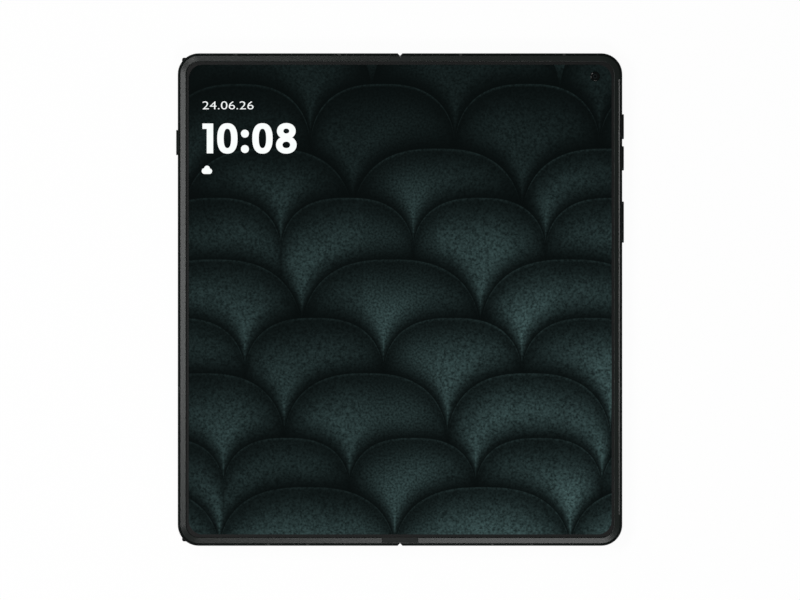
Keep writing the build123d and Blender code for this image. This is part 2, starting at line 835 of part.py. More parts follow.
def sim_tray():
    """The tray: its face closes the wall and its frame holds the card."""
    with BuildPart() as tray:
        with BuildSketch(across(-top_y)):
            with Locations((tray_x, tray_z)):
                SlotOverall(tray_face_width, tray_face_height)
        extrude(amount=-wall)
        xs = (tray_x - tray_width / 2, tray_x + tray_width / 2)
        zs = (tray_z - tray_thickness / 2, tray_z + tray_thickness / 2)
        block(xs, (-inner_y, tray_length - inner_y), zs)
        card_y = tray_length / 2 - inner_y
        card_xs = (tray_x - card_width / 2, tray_x + card_width / 2)
        card_ys = (card_y - card_length / 2, card_y + card_length / 2)
        block(card_xs, card_ys, (zs[1] - card_depth, zs[1]), Mode.SUBTRACT)
        with BuildSketch(across(-top_y)):
            with Locations((tray_x + tray_face_width / 2 - tray_pin_inset, tray_z)):
                RegularPolygon(tray_pin_r, pin_sides)
        extrude(amount=-wall, mode=Mode.SUBTRACT)
    keep(tray, "sim_tray")


def sim_socket():
    """The sheet metal sleeve that the tray slides into."""
    half_w = tray_width / 2 + socket_gap
    half_h = tray_thickness / 2 + socket_gap
    start_y = side_gap - inner_y
    end_y = start_y + tray_length
    with BuildPart() as socket:
        xs = (tray_x - half_w - socket_wall, tray_x + half_w + socket_wall)
        zs = (tray_z - half_h - socket_wall, tray_z + half_h + socket_wall)
        block(xs, (start_y, end_y + socket_wall), zs)
        zs = (tray_z - half_h, tray_z + half_h)
        block((tray_x - half_w, tray_x + half_w), (start_y, end_y), zs, Mode.SUBTRACT)
    keep(socket, "sim_socket")


def back_skin(side, name, hole=None):
    """The glass on one half's back, let into the frame."""
    with BuildPart() as skin:
        with BuildSketch(Plane.XY.offset(back_z)):
            draw_half(side, skin_inset + skin_gap, skin_fold_margin + skin_gap)
            if hole:
                with Locations((island_x, island_y)):
                    Rectangle(*hole, mode=Mode.SUBTRACT)
        extrude(amount=skin_thickness)
    keep(skin, name)


def lens_places():
    """Centre and radius of each rear lens, evenly spread from the inner end to the flash."""
    radii = [island_width * share for share in lens_shares]
    rings = [radius + lens_ring_width for radius in radii]
    spare = island_width - island_inner_margin - flash_zone - 2 * sum(rings)
    x = island_x - island_width / 2 + island_inner_margin
    places = []
    for radius, ring in zip(radii, rings):
        places.append(((x + ring, island_y), radius))
        x += 2 * ring + spare / (len(radii) - 1)
    return places


def camera_island():
    """The raised camera plate with its neck through the back cover, bored for the lenses."""
    neck_width = island_width - 2 * island_neck
    neck_length = island_length - 2 * island_neck
    base_z = back_z - island_height
    with BuildPart() as island:
        with BuildSketch(Plane.XY.offset(base_z)):
            with Locations((island_x, island_y)):
                RectangleRounded(island_width, island_length, island_radius)
        extrude(amount=island_height)
        chamfer(island.faces().sort_by(Axis.Z)[0].edges(), island_chamfer)
        with BuildSketch(Plane.XY.offset(back_z)):
            with Locations((island_x, island_y)):
                Rectangle(neck_width, neck_length)
        extrude(amount=skin_thickness)
        with BuildSketch(Plane.XY.offset(base_z)):
            for centre, radius in lens_places():
                with Locations(centre):
                    Circle(radius + lens_ring_width + lens_ring_gap)
        extrude(amount=island_height + skin_thickness, mode=Mode.SUBTRACT)
        with BuildSketch(Plane.XY.offset(base_z)):
            with Locations(flash_place):
                Circle(flash_radius + lens_ring_gap)
        extrude(amount=flash_thickness, mode=Mode.SUBTRACT)
    keep(island, "camera_island")
    return neck_width + 2 * skin_gap, neck_length + 2 * skin_gap


def lens_rings_and_covers():
    """Metal rings that stand proud of the island, each round its cover glass."""
    base_z = back_z - island_height
    with BuildPart() as rings:
        with BuildSketch(Plane.XY):
            for centre, radius in lens_places():
                with Locations(centre):
                    Circle(radius + lens_ring_width)
                    Circle(radius, mode=Mode.SUBTRACT)
        extrude(amount=lens_ring_height + lens_ring_depth)
    keep(rings, "camera_lens_rings")
    with BuildPart() as covers:
        with BuildSketch(Plane.XY.offset(base_z + lens_cover_drop)):
            for centre, radius in lens_places():
                with Locations(centre):
                    Circle(radius - lens_ring_gap)
        extrude(amount=lens_cover_thickness)
    keep(covers, "camera_lens_covers")
    with BuildPart() as flash:
        with BuildSketch(Plane.XY.offset(base_z)):
            with Locations(flash_place):
                Circle(flash_radius)
        extrude(amount=flash_thickness)
    keep(flash, "flash_lens")


def camera_modules():
    """The three rear modules, the first one hollow for the lens group that focuses."""
    barrel_z = back_z - island_height + lens_cover_drop + lens_cover_thickness + focus_gap
    body_z = skin_z + room_gap
    top_z = midplate_z - room_gap
    first_lens = lens_places()[0][0]
    with BuildPart() as modules:
        for (x, y), radius in lens_places():
            with BuildSketch(Plane.XY.offset(barrel_z)):
                with Locations((x, y)):
                    RegularPolygon(radius - barrel_shrink, barrel_sides)
            extrude(amount=body_z - barrel_z)
            half = radius + camera_body_margin
            block((x - half, x + half), (y - half, y + half), (body_z, top_z))
        with BuildSketch(Plane.XY.offset(barrel_z)):
            with Locations(first_lens):
                RegularPolygon(focus_radius + focus_gap, barrel_sides)
        extrude(amount=focus_length + focus_travel + 2 * focus_gap, mode=Mode.SUBTRACT)
    keep(modules, "camera_modules")
    with BuildPart() as group:
        with BuildSketch(Plane.XY.offset(barrel_z + focus_travel + focus_gap)):
            with Locations(first_lens):
                RegularPolygon(focus_radius, barrel_sides)
        extrude(amount=focus_length)
    keep(group, "focus_lens_group")


def small_camera(centre, radius, body_zs, tip_z, name):
    """A small camera: a square body and a round barrel out to its tip."""
    x, y = centre
    half = small_camera_body / 2
    with BuildPart() as camera:
        block((x - half, x + half), (y - half, y + half), body_zs)
        with BuildSketch(Plane.XY.offset(body_zs[1])):
            with Locations(centre):
                Circle(radius)
        extrude(amount=tip_z - body_zs[1])
    keep(camera, name)


def slab(xs, ys, zs, name):
    """A flat inner part with square corners."""
    with BuildPart() as piece:
        block(xs, ys, zs)
    keep(piece, name)


def batteries_and_coil():
    """The two cells, and the flat charging coil on its ferrite sheet against the back cover."""
    right_ys = (battery_bottom_y, battery_top_y)
    left_ys = (battery_bottom_y, small_board_bottom_y - battery_gap)
    top_z = midplate_z - room_gap
    slab((battery_inner_x, battery_outer_x), right_ys, (skin_z + coil_thickness, top_z), "battery_right")
    slab((-battery_outer_x, -battery_inner_x), left_ys, (skin_z + panel_thickness, top_z), "battery_left")
    with BuildPart() as coil:
        with BuildSketch(Plane.XY.offset(skin_z)):
            with Locations(((battery_inner_x + battery_outer_x) / 2, sum(right_ys) / 2)):
                Circle(coil_r)
        extrude(amount=coil_thickness)
    keep(coil, "wireless_charging_coil")


def boards():
    """The main board with its shields, the sub board at the port and the small left board."""
    board_xs = (battery_inner_x, board_outer_x)
    slab(board_xs, (board_bottom_y, board_top_y), (board_z, board_z + board_thickness), "main_board")
    middle_x = battery_inner_x + shield_split
    inner_span = (battery_inner_x + shield_margin, middle_x - shield_gap / 2)
    outer_span = (middle_x + shield_gap / 2, board_outer_x - shield_margin)
    ys = (board_bottom_y + shield_margin, board_top_y - shield_margin)
    with BuildPart() as shields:
        for xs in (inner_span, outer_span):
            block(xs, ys, (board_z - shield_height, board_z))
            block(xs, ys, (board_z + board_thickness, midplate_z - room_gap))
    keep(shields, "board_shields")
    zs = (midplate_z - room_gap - board_thickness, midplate_z - room_gap)
    sub_board_xs = (battery_inner_x, bottom_sound_x - speaker_width / 2 - speaker_margin)
    sub_board_y = port_end_y + sub_board_gap
    slab(sub_board_xs, (sub_board_y, sub_board_y + sub_board_length), zs, "sub_board")
    slab((-board_outer_x, -battery_inner_x), (small_board_bottom_y, small_board_top_y), zs, "left_board")


def outer_panel():
    """The display module bonded behind the glass on the left half."""
    with BuildPart() as panel:
        with BuildSketch(Plane.XY.offset(skin_z)):
            draw_half(-1, wall + panel_margin, saddle_x + panel_margin)
            with Locations(cover_camera):
                Circle(cover_camera_r + camera_hole_gap, mode=Mode.SUBTRACT)
        extrude(amount=panel_thickness)
    keep(panel, "outer_display_panel")


def speakers_and_motor():
    """Sound boxes behind the two rows of slots, and the motor whose weight shakes the phone."""
    top_z = midplate_z - room_gap
    panel_z = skin_z + panel_thickness
    half = speaker_width / 2
    xs = (bottom_sound_x - half, bottom_sound_x + half)
    slab(xs, (side_gap - inner_y, speaker_length - inner_y), (skin_z, top_z), "bottom_speaker")
    xs = (top_sound_x - half, top_sound_x + half)
    slab(xs, (inner_y - speaker_length, inner_y - side_gap), (panel_z, top_z), "top_speaker")
    motor_x = motor_side - half_width
    motor_y = motor_bottom - top_y
    xs = (motor_x - motor_width / 2, motor_x + motor_width / 2)
    ys = (motor_y - motor_length / 2, motor_y + motor_length / 2)
    with BuildPart() as motor:
        block(xs, ys, (panel_z, top_z))
        hollow_xs = (xs[0] + motor_wall, xs[1] - motor_wall)
        hollow_ys = (ys[0] + motor_wall, ys[1] - motor_wall)
        block(hollow_xs, hollow_ys, (panel_z + motor_wall, top_z - motor_wall), Mode.SUBTRACT)
    keep(motor, "vibration_motor")
    with BuildPart() as weight:
        gap = motor_wall + 2 * weight_gap
        side = motor_wall + weight_side_gap
        weight_xs = (xs[0] + gap, xs[1] - gap)
        block(weight_xs, (ys[0] + side, ys[1] - side), (panel_z + side, top_z - side))
    keep(weight, "vibration_weight")


for side, name in ((1, "right"), (-1, "left")):
    frame(side, name)
    rim(side, name)
    display(side, name)
    display_plate(side, name)
    wing_plate(side, name)
    arm_brackets(side, name)
    sync_arms(side, name)
    idlers(side, name)
display_fold()
fold_seals()
spine_cover()
hinge_bases()
hinge_shafts()
torque_units()
hinge_flex()
key(1, volume_up_y, volume_up_length, "volume_up_key")
key(1, volume_down_y, volume_down_length, "volume_down_key")
key(1, power_y, power_length, "power_key")
key(-1, side_key_y, side_key_length, "side_key")
key_switches(1, (volume_up_y, volume_down_y, power_y), "key_switches_right")
key_switches(-1, (side_key_y,), "key_switch_left")
usb_port()
sim_tray()
sim_socket()
island_hole = camera_island()
back_skin(1, "back_cover", island_hole)
back_skin(-1, "outer_glass")
outer_panel()
lens_rings_and_covers()
camera_modules()
module_zs = (skin_z + room_gap, midplate_z - room_gap)
small_camera(inner_camera, inner_camera_r, module_zs, display_z - 2 * room_gap, "inner_camera")
cover_zs = (midplate_z - room_gap, skin_z + panel_thickness + room_gap)
small_camera(cover_camera, cover_camera_r, cover_zs, skin_z, "outer_camera")
batteries_and_coil()
boards()
speakers_and_motor()
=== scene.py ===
import math

import bmesh
import bpy
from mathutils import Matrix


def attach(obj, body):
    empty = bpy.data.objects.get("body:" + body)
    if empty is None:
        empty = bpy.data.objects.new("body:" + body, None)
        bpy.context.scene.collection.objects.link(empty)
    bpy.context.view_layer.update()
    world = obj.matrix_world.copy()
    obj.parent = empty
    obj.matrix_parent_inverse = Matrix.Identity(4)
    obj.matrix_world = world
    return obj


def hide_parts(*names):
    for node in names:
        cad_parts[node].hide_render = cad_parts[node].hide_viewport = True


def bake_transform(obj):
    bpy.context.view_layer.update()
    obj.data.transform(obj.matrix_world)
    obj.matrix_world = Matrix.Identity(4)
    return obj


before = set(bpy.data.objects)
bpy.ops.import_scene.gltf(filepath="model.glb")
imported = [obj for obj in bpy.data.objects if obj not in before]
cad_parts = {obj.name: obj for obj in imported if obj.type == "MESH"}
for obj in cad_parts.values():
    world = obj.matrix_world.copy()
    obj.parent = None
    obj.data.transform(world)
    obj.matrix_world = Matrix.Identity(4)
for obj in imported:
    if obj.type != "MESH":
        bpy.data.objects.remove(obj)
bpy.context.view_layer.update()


# ---- Camera
# A long lens straight above the open phone, with the phone's top edge at the top of the picture.
# At this height the 800 pixels across span 260 mm at the rims.
camera_data = bpy.data.cameras.new("camera")
camera_data.lens = 200
camera_data.sensor_width = 36
camera = bpy.data.objects.new("camera", camera_data)
camera.location = (-0.00001, -0.00015, 1.4507)
bpy.context.scene.collection.objects.link(camera)
bpy.context.scene.camera = camera
bpy.context.scene.view_settings.view_transform = "Standard"


# ---- Floor
# A sheet of matt white paper on a table, just below the camera's lens rings, which stand lowest.
# It is seen as plain white and still takes a faint shadow from the phone.
def colour(code):
    """An sRGB hex colour as linear RGBA."""
    parts = [int(code[i : i + 2], 16) / 255 for i in (1, 3, 5)]
    return [c / 12.92 if c <= 0.04045 else ((c + 0.055) / 1.055) ** 2.4 for c in parts] + [1]


def add_node(tree, kind, settings=None, values=None, links=None):
    """A shader node with its settings, its sockets' values and the links into it."""
    made = tree.nodes.new("ShaderNode" + kind)
    for name, value in (settings or {}).items():
        setattr(made, name, value)
    for socket, value in (values or {}).items():
        made.inputs[socket].default_value = value
    for socket, source in (links or {}).items():
        tree.links.new(source, made.inputs[socket])
    return made


def start_material(name, values, coordinates="Object"):
    """A new material, its node tree, its surface shader with these values, and its coordinates."""
    made = bpy.data.materials.new(name)
    made.use_nodes = True
    tree = made.node_tree
    surface = tree.nodes["Principled BSDF"]
    for socket, value in values.items():
        surface.inputs[socket].default_value = value
    return made, tree, surface, add_node(tree, "TexCoord").outputs[coordinates]
def seen_directly(tree):
    """1 for a ray from the camera, a reflection or a view through glass, else 0."""
    path = add_node(tree, "LightPath").outputs
    either = {0: path["Is Camera Ray"], 1: path["Is Glossy Ray"]}
    direct = add_node(tree, "Math", {"operation": "MAXIMUM"}, links=either).outputs[0]
    any_of = {0: direct, 1: path["Is Transmission Ray"]}
    return add_node(tree, "Math", {"operation": "MAXIMUM"}, links=any_of).outputs[0]
floor_half = 2.0
floor_drop = 0.00004
floor_mesh = bpy.data.meshes.new("paper_floor")
corners = ((-1, -1), (1, -1), (1, 1), (-1, 1))
floor_mesh.from_pydata([(x * floor_half, y * floor_half, -floor_drop) for x, y in corners], [], [(0, 1, 2, 3)])
floor = bpy.data.objects.new("paper_floor", floor_mesh)
bpy.context.scene.collection.objects.link(floor)

# Matt paper: the diffuse share keeps the shadow, and the rest is plain white.
white_share = 0.95
paper_values = {"Base Color": colour("#ffffff"), "Roughness": 0.9, "Specular IOR Level": 0.1}
paper, tree, surface, _ = start_material("paper_matt_white", paper_values)
white = add_node(tree, "Emission", values={"Color": (1, 1, 1, 1), "Strength": 1.0})
share = add_node(tree, "Math", {"operation": "MULTIPLY"}, {1: white_share}, {0: seen_directly(tree)})
paper_mix = add_node(tree, "MixShader", links={0: share.outputs[0], 1: surface.outputs[0], 2: white.outputs[0]})
tree.links.new(paper_mix.outputs[0], tree.nodes["Material Output"].inputs["Surface"])
floor_mesh.materials.append(paper)


# ---- Lamps
# Soft boxes hang over the left and the bottom edge, and a weak one over the top left corner.
# The room is dim above and white near the horizon. The rims slope outwards, so only those that
# face a box shine.
world = bpy.data.worlds.new("studio_room")
world.use_nodes = True
bpy.context.scene.world = world
tree = world.node_tree
fill_level, wall_top = 0.14, 0.14
skyward = add_node(tree, "TexCoord").outputs["Generated"]
height = add_node(tree, "SeparateXYZ", links={0: skyward}).outputs[2]
wall_span = {"From Min": wall_top, "From Max": 1.6 * wall_top, "To Min": 1.0, "To Max": 0.0}
wall = add_node(tree, "MapRange", values=wall_span, links={"Value": height}).outputs[0]
wall_seen = add_node(tree, "Math", {"operation": "MULTIPLY"}, links={0: wall, 1: seen_directly(tree)})
strength = add_node(
    tree, "Math", {"operation": "MULTIPLY_ADD"}, {1: 1.0 - fill_level, 2: fill_level}, {0: wall_seen.outputs[0]}
)
tree.nodes["Background"].inputs["Color"].default_value = (1, 1, 1, 1)
tree.links.new(strength.outputs[0], tree.nodes["Background"].inputs["Strength"])

for name, place, width, length, power in (
    ("left_box", (-0.44, 0.05, 0.72), 0.22, 0.28, 2.7),
    ("bottom_box", (0.12, -0.45, 0.74), 0.32, 0.22, 2.6),
    ("top_box", (-0.28, 0.50, 0.90), 0.24, 0.20, 1.9),
):
    lamp = bpy.data.lights.new(name, "AREA")
    lamp.shape = "RECTANGLE"
    lamp.size = width
    lamp.size_y = length
    lamp.energy = power
    holder = bpy.data.objects.new(name, lamp)
    holder.location = place
    if abs(place[0]) > abs(place[1]):
        holder.rotation_euler = (0, math.atan2(place[0], place[2]), 0)
    else:
        holder.rotation_euler = (-math.atan2(place[1], place[2]), 0, 0)
    bpy.context.scene.collection.objects.link(holder)


# ---- Frames, spine cover, camera plate and SIM tray
# The two half frames are milled from aluminium, blasted with fine beads and anodised green-black.
# The spine cover, the camera plate and the tray's face are the same metal with the same finish.
mm = 0.001


def dress(material, *names):
    """Give the CAD nodes this material in every slot."""
    for name in names:
        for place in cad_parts[name].material_slots:
            place.material = material


def finish(tree, surface, pattern, colours, rough=None, relief=None, edge=None, tone=None):
    """Let a surface follow one pattern: from the first colour to the second, and likewise in roughness.

    relief is a bump's strength and depth in mm, edge the radius in mm that edges are worn to and its
    samples, and tone a second pattern for the colour alone. Gives the colour.
    """
    pair = {6: colour(colours[0]), 7: colour(colours[1])}
    tint = add_node(tree, "Mix", {"data_type": "RGBA"}, pair, {0: tone or pattern})
    tree.links.new(tint.outputs[2], surface.inputs["Base Color"])
    if rough:
        span = {"To Min": rough[0], "To Max": rough[1]}
        satin = add_node(tree, "MapRange", values=span, links={"Value": pattern})
        tree.links.new(satin.outputs[0], surface.inputs["Roughness"])
    normal = None
    if edge:
        normal = add_node(tree, "Bevel", {"samples": edge[1]}, {"Radius": edge[0] * mm}).outputs[0]
    if relief:
        depth = {"Strength": relief[0], "Distance": relief[1] * mm}
        bump = add_node(tree, "Bump", None, depth, {"Height": pattern})
        if normal:
            tree.links.new(normal, bump.inputs["Normal"])
        normal = bump.outputs[0]
    if normal:
        tree.links.new(normal, surface.inputs["Normal"])
    return tint.outputs[2]


# Anodised aluminium: the dye leaves a near-black metal with a satin, slightly speckled shine.
# Bead marks are about 0.1 mm across, drawn here at 0.3 mm so that they show.
anodised, tree, surface, where = start_material("aluminium_blasted_anodised", {"Metallic": 1.0})
bead_size, dye_patch = 0.3 * mm, 14 * mm
beads = add_node(
    tree, "TexNoise", None, {"Scale": 1 / bead_size, "Detail": 3.0}, {"Vector": where}
).outputs["Fac"]
dye = add_node(
    tree, "TexNoise", None, {"Scale": 1 / dye_patch, "Detail": 2.0}, {"Vector": where}
).outputs["Fac"]
finish(tree, surface, beads, ("#0e1110", "#191d1c"), (0.34, 0.52), (0.25, 0.02), (0.12, 8), dye)
dress(anodised, "frame_left", "frame_right", "hinge_spine_cover", "camera_island", "sim_tray")


# ---- Keys
# The volume keys, the power key and the key on the left edge are milled bars of the same aluminium.
# Their faces are polished a little brighter than the frame, with hairlines along their length.
brushed, tree, surface, where = start_material("aluminium_brushed_anodised", {"Metallic": 1.0})
hairline, hairline_run = 0.25 * mm, 6 * mm
stretch = add_node(
    tree, "Mapping", None, {"Scale": (1 / hairline, 1 / hairline_run, 1 / hairline)}, {"Vector": where}
).outputs[0]
lines = add_node(tree, "TexNoise", None, {"Scale": 1.0, "Detail": 2.0}, {"Vector": stretch}).outputs["Fac"]
finish(tree, surface, lines, ("#101312", "#222826"), (0.26, 0.44), edge=(0.15, 8))
for name in ("volume_up_key", "volume_down_key", "power_key", "side_key"):
    dress(brushed, name)
    broken_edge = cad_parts[name].modifiers.new("broken_edge", "BEVEL")
    broken_edge.width = 0.15 * mm
    broken_edge.segments = 2


# ---- Antenna gaps
# Strips of hard polyester resin, moulded into cuts through the frames and milled flush with them.
# Against the metal they are a shade lighter and quite matt.
resin_values = {"IOR": 1.57, "Specular IOR Level": 0.2}
resin, tree, surface, where = start_material("polyester_resin_milled", resin_values)
mill_mark = 0.4 * mm
marks = add_node(
    tree, "TexNoise", None, {"Scale": 1 / mill_mark, "Detail": 2.0}, {"Vector": where}
).outputs["Fac"]
finish(tree, surface, marks, ("#1d201f", "#292d2b"), (0.55, 0.75))
dress(resin, "antenna_gaps_left", "antenna_gaps_right")


# ---- Rims round the inner display
# Each half has a rim of moulded polycarbonate, glued over the display's edge inside the frame's lip.
# Its top slopes down outwards, so the side towards the lamp shines and the far side stays dark.
def add_piece(name, body, slot_name, mesh, *materials):
    """A new piece from a finished mesh, riding on a body when one is given."""
    piece = bpy.data.objects.new(name, mesh)
    bpy.context.scene.collection.objects.link(piece)
    for material in materials:
        mesh.materials.append(material)
    mesh.shade_smooth()
    mesh.set_sharp_from_angle(angle=math.radians(35))
    if body:
        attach(piece, body)
    return piece


def as_mesh(name, made):
    """The mesh of a finished bmesh, which is freed."""
    mesh = bpy.data.meshes.new(name)
    made.to_mesh(mesh)
    made.free()
    return mesh


def swept(path, profile):
    """A mesh whose profile (inset, z) follows a path of (x, y, inward x, inward y), ends capped."""
    made = bmesh.new()
    rows = []
    for x, y, in_x, in_y in path:
        places = [((x + in_x * u) * mm, (y + in_y * u) * mm, z * mm) for u, z in profile]
        rows.append([made.verts.new(place) for place in places])
    for row, after in zip(rows, rows[1:]):
        for i in range(len(profile)):
            j = (i + 1) % len(profile)
            made.faces.new((row[i], row[j], after[j], after[i]))
    made.faces.new(rows[0])
    made.faces.new(rows[-1])
    bmesh.ops.recalc_face_normals(made, faces=made.faces)
    return as_mesh("swept", made)
half_x, half_y, corner_r = 72.2, 80.0, 6.8
rim_profile = [
    (0.76, 6.66), (0.76, 6.72), (0.80, 6.755), (0.86, 6.767), (2.46, 7.078), (2.52, 7.089),
    (2.60, 7.095), (2.66, 7.06), (2.69, 6.97), (2.69, 6.66),
]  # fmt: skip
# Polycarbonate with a fine spark-eroded grain: satin, green-grey, brighter where it turns to a lamp.
# The grain is about 0.08 mm, drawn at 0.25 mm.
rim_values = {"IOR": 1.58, "Specular IOR Level": 0.15}
rim_plastic, tree, surface, where = start_material("polycarbonate_satin_moulded", rim_values)
spark_grain, flow_patch = 0.25 * mm, 30 * mm
grain = add_node(
    tree, "TexNoise", None, {"Scale": 1 / spark_grain, "Detail": 3.0}, {"Vector": where}
).outputs["Fac"]
flow = add_node(
    tree, "TexNoise", None, {"Scale": 1 / flow_patch, "Detail": 1.0}, {"Vector": where}
).outputs["Fac"]
both = add_node(tree, "Math", {"operation": "MULTIPLY_ADD"}, {1: 0.3}, {0: grain, 2: flow}).outputs[0]
finish(tree, surface, grain, ("#131716", "#1c211f"), (0.26, 0.34), (0.2, 0.015), tone=both)
corner_steps = 12
for side, body, name in ((-1, "left_half", "rim_left"), (1, "right_half", "rim_right")):
    path = [(side * 3.22, half_y, 0, -1)]
    for sign, steps in ((1, range(corner_steps + 1)), (-1, range(corner_steps, -1, -1))):
        for i in steps:
            angle = math.radians(90 - 90 * i / corner_steps)
            c, s = math.cos(angle), math.sin(angle)
            x = side * (half_x - corner_r + corner_r * c)
            y = sign * (half_y - corner_r + corner_r * s)
            path.append((x, y, -side * c, -sign * s))
    path.append((side * 5.92, -half_y, 0, 1))
    rim = add_piece(name + "_sloped", body, "rim_plastic", swept(path, rim_profile), rim_plastic)
    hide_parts(name)

# Along the free edge of the right half a low bead of the same plastic faces inwards. The closed
# halves rest on it, and it takes the light of the left box.
bead_path = [(half_x, y, -1, 0) for y in (half_y - 8.5, 10 - half_y)]
bead = swept(bead_path, [(0.76, 6.76), (1.14, 6.835), (0.80, 6.955), (0.76, 6.94)])
add_piece("rim_right_bead", "right_half", "rim_plastic", bead, rim_plastic)


# ---- Fold seals
# Soft black polyurethane strips bridge the rims at the two ends of the fold, and are built flat here.
# Each is moulded over the display's edge, with a light stipple that hides wear.
def strip_mesh(columns, bands, heights):
    """A slab per band of y, with its columns along x and a UV map in metres.

    heights(x) gives its bottom and top, and a band ends with the top's drop at its outer y.
    """
    made = bmesh.new()
    layer = made.loops.layers.uv.new("rest_place")
    for y_near, y_far, drop in bands:
        rings = []
        for x in columns:
            low, high = heights(x)
            corners = ((y_near, low), (y_far, low), (y_far, high - drop), (y_near, high))
            rings.append([made.verts.new((x * mm, y * mm, z * mm)) for y, z in corners])
        for ring, after in zip(rings, rings[1:]):
            for i in range(4):
                j = (i + 1) % 4
                face = made.faces.new((ring[i], ring[j], after[j], after[i]))
                face.material_index = 0 if i == 2 else 1
        for ring in (rings[0], rings[-1]):
            made.faces.new(ring).material_index = 1
    bmesh.ops.recalc_face_normals(made, faces=made.faces)
    for face in made.faces:
        for corner in face.loops:
            corner[layer].uv = (corner.vert.co.x, corner.vert.co.y)
    return as_mesh("strip", made)


def bend_over_fold(piece, side):
    """Bake a strip's placement into its mesh; both sides of the fold are treated alike."""
    if side > 0:
        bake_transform(piece)
    else:
        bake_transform(piece)


def steps_between(low, high, count):
    """Evenly spaced values with both ends."""
    return [low + (high - low) * i / count for i in range(count + 1)]


# Polyurethane with a stippled mould surface: near black and matt.
# The stipple is 0.2 mm, drawn at 0.35 mm.
seal_values = {"IOR": 1.5, "Specular IOR Level": 0.2, "Roughness": 0.42}
seal_rubber, tree, surface, where = start_material("polyurethane_stippled", seal_values, "UV")
stipple_size = 0.35 * mm
stipple = add_node(
    tree, "TexVoronoi", None, {"Scale": 1 / stipple_size}, {"Vector": where}
).outputs["Distance"]
finish(tree, surface, stipple, ("#1c201f", "#131615"), relief=(0.4, 0.02))
seal_base, seal_top = 6.66, 6.94
# All the soft parts cross the fold close enough to its middle to pass between the sync bars when closed.
for side, end_name in ((-1, "left"), (1, "right")):
    for end, reach, end_label in ((1, 3.15, "top"), (-1, 5.85, "bottom")):
        xs = [side * v for v in steps_between(0, reach, 16)]
        bands = [(end * 77.3, end * 78.85, 0), (end * 78.92, end * 79.24, 0.08)]
        mesh = strip_mesh(xs, bands, lambda x: (seal_base, seal_top))
        seal = add_piece(
            f"fold_seal_{end_label}_{end_name}", None, "seal_rubber", mesh, seal_rubber, seal_rubber
        )
        bend_over_fold(seal, side)
        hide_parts("fold_seals")
